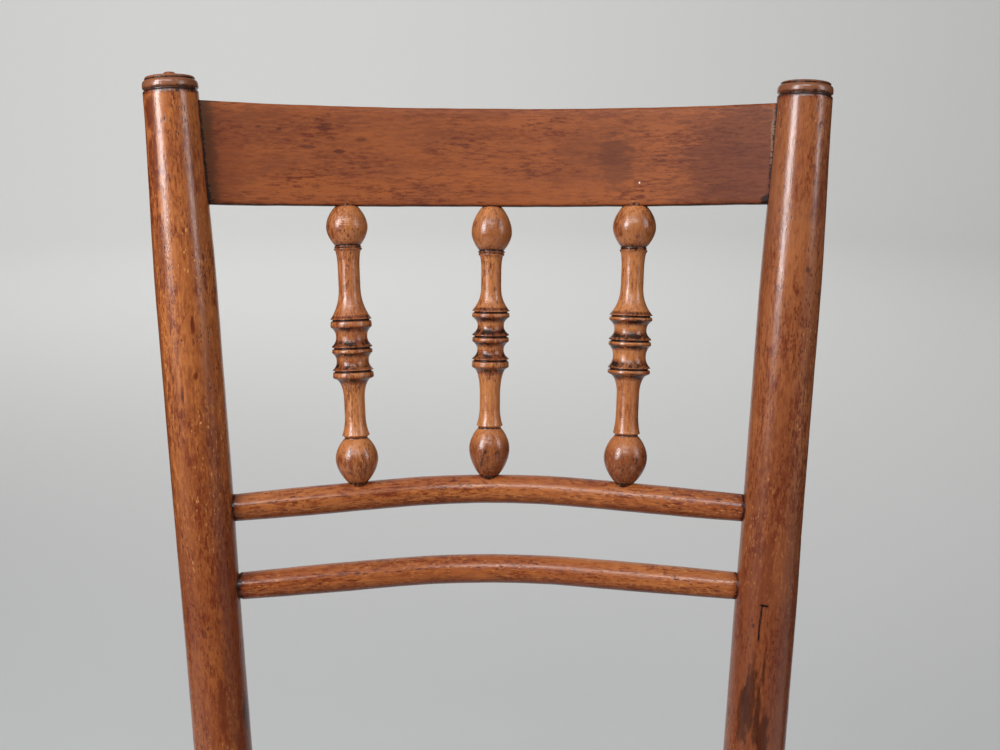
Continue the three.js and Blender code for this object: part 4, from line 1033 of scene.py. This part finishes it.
leg_varnish = varnished_wood("leg_varnish", LEFT_LIGHT, LEFT_DEEP, POST_RED, 0.5, 0.5, gloss=0.3)
for leg_side, leg_seed in (("left", 51.0), ("right", 57.0)):
    leg_foot, leg_top = leg_line(leg_side)
    leg_path = path_through(np.stack([leg_foot, leg_top]))
    leg_length = leg_path[1][-1]
    leg_stations = np.linspace(0, leg_length, LEG_STATIONS)
    leg_share = np.clip(leg_stations / (leg_length - LEG_SWELL), 0, 1)
    leg_radii = LEG_FOOT_RADIUS + (LEG_TOP_RADIUS - LEG_FOOT_RADIUS) * leg_share

    def leg_grime(s, a, points):
        """Scuffs at the foot and dirt under the seat."""
        return 0.45 * hill(s, 30 * MM) + 0.6 * hill(leg_length - s, 5 * MM) + 0 * a

    leg = turned(
        f"{leg_side}_turned_leg", leg_path, BACKWARD, leg_stations, leg_radii, LEG_SIDES, leg_seed, leg_grime
    )
    leg.data.materials.append(leg_varnish)
    stands_for(leg, f"{leg_side}_front_leg")


def stretcher_piece(node, seed):
    """A dowel that swells as the root of a half sine, between the middles of its solid's two ends.
    Its dirt falls off with the distance from the legs."""
    low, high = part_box(node)
    size = high - low
    height = (low.z + high.z) / 2
    if size.x > size.y:
        depth = (low.y + high.y) / 2
        ends = np.array([[low.x, depth, height], [high.x, depth, height]])
    else:
        sign = 1 if low.x + high.x > 0 else -1
        inner, outer = sorted((abs(low.x), abs(high.x)))
        rear_x = sign * (inner + STRETCHER_END_RADIUS)
        front_x = sign * (outer - STRETCHER_END_RADIUS)
        ends = np.array([[front_x, low.y, height], [rear_x, high.y, height]])
    path = path_through(ends)
    total = path[1][-1]
    lengths = np.linspace(0, total, STRETCHER_STATIONS)
    fullness = np.sqrt(np.sin(math.pi * np.clip(lengths / total, 0.0004, 0.9996)))
    radii = STRETCHER_END_RADIUS + (STRETCHER_RADIUS - STRETCHER_END_RADIUS) * fullness

    def grime_and_shade(s, a, points):
        from_leg = np.maximum(np.minimum(s, total - s) - LEG_TOP_RADIUS, 0)
        return 0.8 * hill(from_leg, 4 * MM, 1.4) + 0 * a

    piece = turned(f"{node}_dowel", path, UPRIGHT, lengths, radii, STRETCHER_SIDES, seed, grime_and_shade)
    piece.data.materials.append(leg_varnish)
    stands_for(piece, node)


STRETCHERS = [
    "front_upper_stretcher", "front_lower_stretcher", "left_upper_stretcher", "left_lower_stretcher",
    "right_upper_stretcher", "right_lower_stretcher", "rear_stretcher",
]
for stretcher_index, stretcher_node in enumerate(STRETCHERS):
    stretcher_piece(stretcher_node, 61.0 + 3.7 * stretcher_index)

# Seat frame: four beech boards, tenoned together and into the posts, with the caning holes
# bored through them. The solids have their true shape, so they get the varnish alone.
GRAIN_ACROSS = (0.0, math.radians(90), 0.0)
GRAIN_DEEP = (math.radians(90), 0.0, 0.0)


def refinish(nodes, finish):
    """Gives solids that stay a finish of their own."""
    for node in nodes:
        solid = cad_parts[node]
        solid.data.materials.clear()
        solid.data.materials.append(finish)


for board_index, (board_grain, board_nodes) in enumerate((
    (GRAIN_ACROSS, ("seat_front_board", "seat_rear_board")),
    (GRAIN_DEEP, ("seat_left_board", "seat_right_board")),
)):
    refinish(board_nodes, varnished_wood(
        f"board_varnish_{board_index}", LEFT_LIGHT, LEFT_DEEP, POST_RED, 0.4, 0.45,
        gloss=0.36, grain=board_grain,
    ))

# The seat: cane laced by hand through the holes in six sets of strands: two from front to back,
# two across, and one along each diagonal. Each diagonal passes over the pairs of one kind and
# under those of the other, which leaves eight-sided openings.
CANE_PITCH = 16 * MM
PAIR_HALF_GAP = 2.0 * MM
STRAND_HALF_WIDTH = 1.25 * MM
DIAGONAL_HALF_WIDTH = 1.4 * MM
STRAND_HALF_THICK = 0.42 * MM
WEAVE_STEP = 0.85 * MM
STRAND_STATIONS = 176
SHORTEST_STRAND = 12 * MM
HOLE_RADIUS = 2.5 * MM
HOLE_DIVE = 5 * MM
WEAVE_LEVEL = SEAT_TOP + 1.45 * MM
FRONT_HOLES_Y = POSTS_Y - 330 * MM
REAR_HOLES_Y = POSTS_Y - 28 * MM
FRONT_HOLES_X = 157.3 * MM
REAR_HOLES_X = 142.8 * MM
MIDDLE_HOLES_Y = (FRONT_HOLES_Y + REAR_HOLES_Y) / 2


def side_holes_x(y):
    """Half the width between the side rows of holes, which come nearer each other to the rear."""
    share = (y - FRONT_HOLES_Y) / (REAR_HOLES_Y - FRONT_HOLES_Y)
    return FRONT_HOLES_X + (REAR_HOLES_X - FRONT_HOLES_X) * share


def in_the_seat(x, y, step_x, step_y):
    """How far a line through (x, y) may run each way before it meets a row of holes.

    Each side of the seat is the set of points where a distance to it is zero. Along the line the
    distance changes evenly, so the crossing is the distance over the rate of change."""
    slope = (REAR_HOLES_X - FRONT_HOLES_X) / (REAR_HOLES_Y - FRONT_HOLES_Y)
    inside = [y - FRONT_HOLES_Y, REAR_HOLES_Y - y, side_holes_x(y) - x, side_holes_x(y) + x]
    rates = [step_y, -step_y, slope * step_y - step_x, slope * step_y + step_x]
    start, finish = np.full(x.shape, -1.0), np.full(x.shape, 1.0)
    for distance, rate in zip(inside, rates):
        if abs(rate) > 1e-9:
            crossing = -distance / rate
            if rate > 0:
                start = np.maximum(start, crossing)
            else:
                finish = np.minimum(finish, crossing)
    return start, finish


def to_nearest(value, start):
    """The offset to the nearest of an evenly spaced row of lines."""
    return (value - start + CANE_PITCH / 2) % CANE_PITCH - CANE_PITCH / 2


def strands(name, x, y, step, half_width, lift, wiggle):
    """Flat strands with rounded edges along parallel lines. The height is lift's wave over and
    under the others, and the last 2.5 mm at each end turns down into the hole."""
    step_x, step_y = step
    x, y = np.broadcast_arrays(x, y)
    start, finish = in_the_seat(x, y, step_x, step_y)
    keep = finish - start > SHORTEST_STRAND
    x, y, start, finish = x[keep], y[keep], start[keep], finish[keep]
    share = np.linspace(0, 1, STRAND_STATIONS)[None, :]
    run = start[:, None] + (finish - start)[:, None] * share
    px, py = x[:, None] + run * step_x, y[:, None] + run * step_y
    index = np.arange(len(x))[:, None]
    sway = wiggle * MM * np.sin(px * 41 + py * 37 + index * 2.4)
    from_end = np.minimum(run - start[:, None], finish[:, None] - run)
    inward = np.clip(from_end / (14 * MM), 0, 1)
    dive = HOLE_DIVE * np.clip(1 - from_end / HOLE_RADIUS, 0, 1) ** 2
    height = WEAVE_LEVEL + lift(px, py, index) * WEAVE_STEP - dive
    section = np.radians([0, 50, 90, 130, 180, 230, 270, 310])
    wide = np.cos(section) * half_width
    thick = np.sign(np.sin(section)) * np.abs(np.sin(section)) ** 0.7 * STRAND_HALF_THICK
    out = wide + (sway * inward)[..., None]
    points = np.stack([
        px[..., None] - step_y * out,
        py[..., None] + step_x * out,
        height[..., None] + thick + 0 * out,
    ], -1)
    count, along, around = points.shape[:3]
    ids = np.arange(count * along * around).reshape(count, along, around)
    beside = np.roll(ids, -1, axis=2)
    walls = np.stack([ids[:, :-1], beside[:, :-1], beside[:, 1:], ids[:, 1:]], -1).reshape(-1, 4)
    near_caps = ids[:, 0, ::-1].reshape(-1, around)
    far_caps = ids[:, -1].reshape(-1, around)
    mesh = bpy.data.meshes.new(name)
    faces = walls.tolist() + near_caps.tolist() + far_caps.tolist()
    mesh.from_pydata(points.reshape(-1, 3).tolist(), [], faces)
    blank = np.stack([
        wide + index[..., None] * 0.013 + 0 * out,
        thick + 0 * out,
        run[..., None] + 0 * out,
    ], -1)
    mesh.attributes.new("blank", "FLOAT_VECTOR", "POINT").data.foreach_set("vector", blank.ravel())
    mesh.shade_smooth()
    piece = in_scene(name, mesh)
    stands_for(piece, "cane_panel")
    return piece


def cane_finish(name, light, deep):
    """Cane: a hard glossy skin, straw to honey in colour, with fine lengthwise lines and a darker
    knot here and there, and dust and wear that dull it in patches."""
    g = Graph(name)
    blank = g.add("ShaderNodeAttribute", attribute_name="blank").outputs["Vector"]
    place = g.add("ShaderNodeTexCoord").outputs["Object"]
    line = g.noise(blank, (2600, 2600, 14), 2.0)
    tone = g.noise(blank, (75, 75, 6), 3.0)
    worn = g.noise(place, (14, 14, 14), 4.0)
    colour = g.mix(g.ramp(tone, 0.3, 0.7), light, deep)
    colour = g.tinted(colour, rgb(118, 76, 38), g.ramp(line, 0.45, 0.7), 0.35)
    knot = g.ramp(g.noise(blank, (150, 150, 90), 2.0, (2, 2, 2)), 0.68, 0.78)
    colour = g.tinted(colour, rgb(78, 44, 24), knot, 0.7)
    colour = g.tinted(colour, rgb(104, 70, 42), g.ramp(worn, 0.5, 0.75), 0.45)
    return g.finish(colour, g.line(worn, 0.3, 0.25), line, 0.5, 0.05 * MM)


def over_pair(px, py):
    """A hill where a strand crosses a pair that runs from front to back, wide enough for both."""
    return hill(to_nearest(px, 0.0), 4.2 * MM)


def over_cross_pair(px, py):
    """The same hill where it crosses a pair that runs across."""
    return hill(to_nearest(py, MIDDLE_HOLES_Y + CANE_PITCH / 2), 4.2 * MM)


lines_across = np.arange(-9, 10) * CANE_PITCH
lines_deep = MIDDLE_HOLES_Y + (np.arange(-10, 10) + 0.5) * CANE_PITCH
pairs_x = (lines_across[:, None] + np.array([-1, 1]) * PAIR_HALF_GAP).ravel()
pairs_y = (lines_deep[:, None] + np.array([-1, 1]) * PAIR_HALF_GAP).ravel()
pairs_y = pairs_y[(pairs_y > FRONT_HOLES_Y + 3 * MM) & (pairs_y < REAR_HOLES_Y - 3 * MM)]


def over_and_under(offset, index):
    """A sine that peaks on one strand of the crossed pair and dips on the other, within a hill. The
    two strands of a pair take it the other way round from each other."""
    side = 1 - 2 * (index % 2)
    return 0.5 * side * np.sin(offset / PAIR_HALF_GAP * math.pi / 2) * hill(offset, 4 * MM)


def deep_wave(px, py, index):
    """The height of a strand from front to back, over and under the pairs across."""
    return over_and_under(to_nearest(py, MIDDLE_HOLES_Y + CANE_PITCH / 2), index)


def across_wave(px, py, index):
    """The height of a strand across, which goes under where the other goes over."""
    return -over_and_under(to_nearest(px, 0.0), index)


def rising_wave(px, py, index):
    """Over the pairs from front to back and under those across."""
    return over_pair(px, py) - over_cross_pair(px, py)


def falling_wave(px, py, index):
    """Under the pairs from front to back and over those across."""
    return -rising_wave(px, py, index)


cane_skin = cane_finish("cane_skin", rgb(206, 164, 104), rgb(176, 126, 70))
DIAGONAL = math.sqrt(0.5)
diagonal_x = np.arange(-19, 20) * CANE_PITCH
# Each row is a name, the lines' places, their direction, half the strand's width, wave and sway.
for cane_row in (
    ("cane_deep_pairs", pairs_x, MIDDLE_HOLES_Y, (0.0, 1.0), STRAND_HALF_WIDTH, deep_wave, 0.10),
    ("cane_cross_pairs", 0.0, pairs_y, (1.0, 0.0), STRAND_HALF_WIDTH, across_wave, 0.10),
    ("cane_rising_diagonals", diagonal_x, MIDDLE_HOLES_Y, (DIAGONAL, DIAGONAL),
     DIAGONAL_HALF_WIDTH, rising_wave, 0.15),
    ("cane_falling_diagonals", diagonal_x, MIDDLE_HOLES_Y, (DIAGONAL, -DIAGONAL),
     DIAGONAL_HALF_WIDTH, falling_wave, 0.15),
):
    strands(*cane_row).data.materials.append(cane_skin)

# Binding: four flat strips of wider cane laid over the rows of holes. Their solids have the true
# shape, so they get the cane's finish, drawn along each strip.
def binding_finish(name, turn):
    """Wider cane: lines along the strip, and dirt and wear in patches."""
    g = Graph(name)
    place = g.add("ShaderNodeTexCoord").outputs["Object"]
    along = g.add("ShaderNodeMapping", {"Vector": place, "Rotation": turn}).outputs["Vector"]
    line = g.noise(along, (1300, 1300, 9), 3.0)
    worn = g.noise(place, (60, 60, 60), 4.0)
    colour = g.mix(g.ramp(line, 0.3, 0.7), rgb(204, 160, 100), rgb(164, 114, 62))
    colour = g.tinted(colour, rgb(92, 58, 34), g.ramp(worn, 0.5, 0.72), 0.55)
    return g.finish(colour, g.line(worn, 0.3, 0.25), line, 0.5, 0.08 * MM)


refinish(("cane_binding_front", "cane_binding_rear"), binding_finish("binding_across", GRAIN_ACROSS))
refinish(("cane_binding_left", "cane_binding_right"), binding_finish("binding_deep", GRAIN_DEEP))

# The studio: a round pale floor that curves up into a wall all round, a tall window-like light to
# the front left, a weaker one at the right, a wash of light on the wall behind the chair, a soft
# glow from above, and dark screens that only the varnish reflects.
FLOOR_RADIUS = 4.6
COVE_RADIUS = 2.4
WALL_TOP = 5.0
FLOOR_SIDES = 96


def round_floor():
    """A profile turned about the upright axis: flat out to the cove, a quarter circle, then upright."""
    turn = np.linspace(0, math.pi / 2, 24)
    flat = np.stack([np.array([0.0, 0.5, 1.5, 3.0]), np.zeros(4)], -1)
    cove = np.stack([FLOOR_RADIUS + COVE_RADIUS * np.sin(turn), COVE_RADIUS * (1 - np.cos(turn))], -1)
    wall = np.array([[FLOOR_RADIUS + COVE_RADIUS, WALL_TOP]])
    out, up = np.concatenate([flat, cove, wall]).T
    around = np.arange(FLOOR_SIDES) * 2 * math.pi / FLOOR_SIDES
    x = out[1:, None] * np.cos(around)
    y = out[1:, None] * np.sin(around)
    rings = np.stack([x, y, up[1:, None] + 0 * x], -1)
    ids = 1 + np.arange(rings[..., 0].size).reshape(rings.shape[:2])
    beside = np.roll(ids, -1, axis=1)
    centre_fan = np.stack([np.zeros(FLOOR_SIDES, int), ids[0], beside[0]], -1)
    walls = np.stack([ids[:-1], ids[1:], beside[1:], beside[:-1]], -1).reshape(-1, 4)
    mesh = bpy.data.meshes.new("round_floor")
    points = np.concatenate([[[0.0, 0.0, 0.0]], rings.reshape(-1, 3)])
    mesh.from_pydata(points.tolist(), [], centre_fan.tolist() + walls.tolist())
    mesh.shade_smooth()
    return in_scene("round_floor", mesh)


floor = round_floor()
floor_paint = Graph("pale_floor")
floor_paint.shader.inputs["Base Color"].default_value = (0.60, 0.60, 0.59, 1)
floor_paint.shader.inputs["Roughness"].default_value = 0.95
floor.data.materials.append(floor_paint.material)


def black_flag(name, start, end, height):
    """A dark upright screen between two places on the floor. It is seen only in the varnish, where
    it takes the grey room off the edges of the round parts and gives them their deep colour."""
    foot = [(*start, 0.02), (*end, 0.02)]
    head = [(*end, height), (*start, height)]
    mesh = bpy.data.meshes.new(name)
    mesh.from_pydata(foot + head, [], [(0, 1, 2, 3)])
    flag = in_scene(name, mesh)
    flag.visible_camera = False
    flag.visible_diffuse = False
    flag.visible_shadow = False
    return flag


flag_cloth = Graph("black_cloth")
flag_cloth.shader.inputs["Base Color"].default_value = (0.012, 0.011, 0.010, 1)
flag_cloth.shader.inputs["Roughness"].default_value = 1.0
for flag_name, flag_start, flag_end, flag_height in (
    ("left_flag", (-1.0, 0.15), (-1.0, 3.2), 2.2),
    ("right_flag", (0.8, 0.15), (0.8, 3.2), 2.2),
    ("front_flag", (-2.4, -2.6), (2.4, -2.6), 3.0),
):
    flag = black_flag(flag_name, flag_start, flag_end, flag_height)
    flag.data.materials.append(flag_cloth.material)

world = bpy.data.worlds.new("studio")
world.use_nodes = True
world.node_tree.nodes["Background"].inputs["Color"].default_value = (0.95, 0.97, 1.0, 1)
world.node_tree.nodes["Background"].inputs["Strength"].default_value = 0.34
bpy.context.scene.world = world


def soft_light(name, place, aim, width, height, power, tint=(1.0, 1.0, 1.0)):
    """A rectangle of light, turned to face what it aims at and hidden from the camera."""
    data = bpy.data.lights.new(name, "AREA")
    data.shape = "RECTANGLE"
    data.size, data.size_y = width, height
    data.energy = power
    data.color = tint
    light = in_scene(name, data)
    toward = np.array(aim) - np.array(place)
    yaw = math.atan2(toward[0], toward[1])
    pitch = math.atan2(toward[2], math.hypot(toward[0], toward[1]))
    light.location = place
    light.rotation_euler = (math.radians(90) + pitch, 0.0, -yaw)
    light.visible_camera = False


DAYLIGHT = (0.95, 0.97, 1.0)
soft_light("window", (-1.09, -0.68, 1.42), (0.0, 0.2, 0.75), 0.48, 0.9, 24, DAYLIGHT)
soft_light("right_reflector", (1.81, -0.65, 1.6), (0.0, 0.2, 0.7), 0.36, 1.1, 10.5, DAYLIGHT)
soft_light("ceiling", (-0.15, -1.0, 2.0), (0.0, 0.2, 0.6), 1.1, 0.4, 10)
soft_light("wall_wash", (-1.1, 2.4, 3.6), (0.0, 6.0, 1.8), 3.2, 1.8, 172, (1.0, 0.99, 0.98))

# The camera looks down a little on the leaning back, from close by. Its place is given from the
# back, and its lens by a focal length in pixels of a picture 1000 pixels wide.
CAMERA_RISE = 308 * MM
CAMERA_AWAY = 657.5 * MM
CAMERA_ACROSS = 6.6 * MM
CAMERA_TILT = math.radians(5.86)
FOCAL_PIXELS = 1170
PICTURE_PIXELS = 1000
camera_data = bpy.data.cameras.new("camera")
camera_data.sensor_width = 36
camera_data.lens = FOCAL_PIXELS / PICTURE_PIXELS * camera_data.sensor_width
camera = in_scene("camera", camera_data)
camera.location = back_point(CAMERA_ACROSS, CAMERA_RISE, -CAMERA_AWAY)
camera.rotation_euler = (math.radians(90) - RECLINE - CAMERA_TILT, 0.0, 0.0)
camera_data.clip_start = 0.02
camera_data.clip_end = 60
bpy.context.scene.camera = camera
bpy.context.scene.view_settings.view_transform = "Standard"
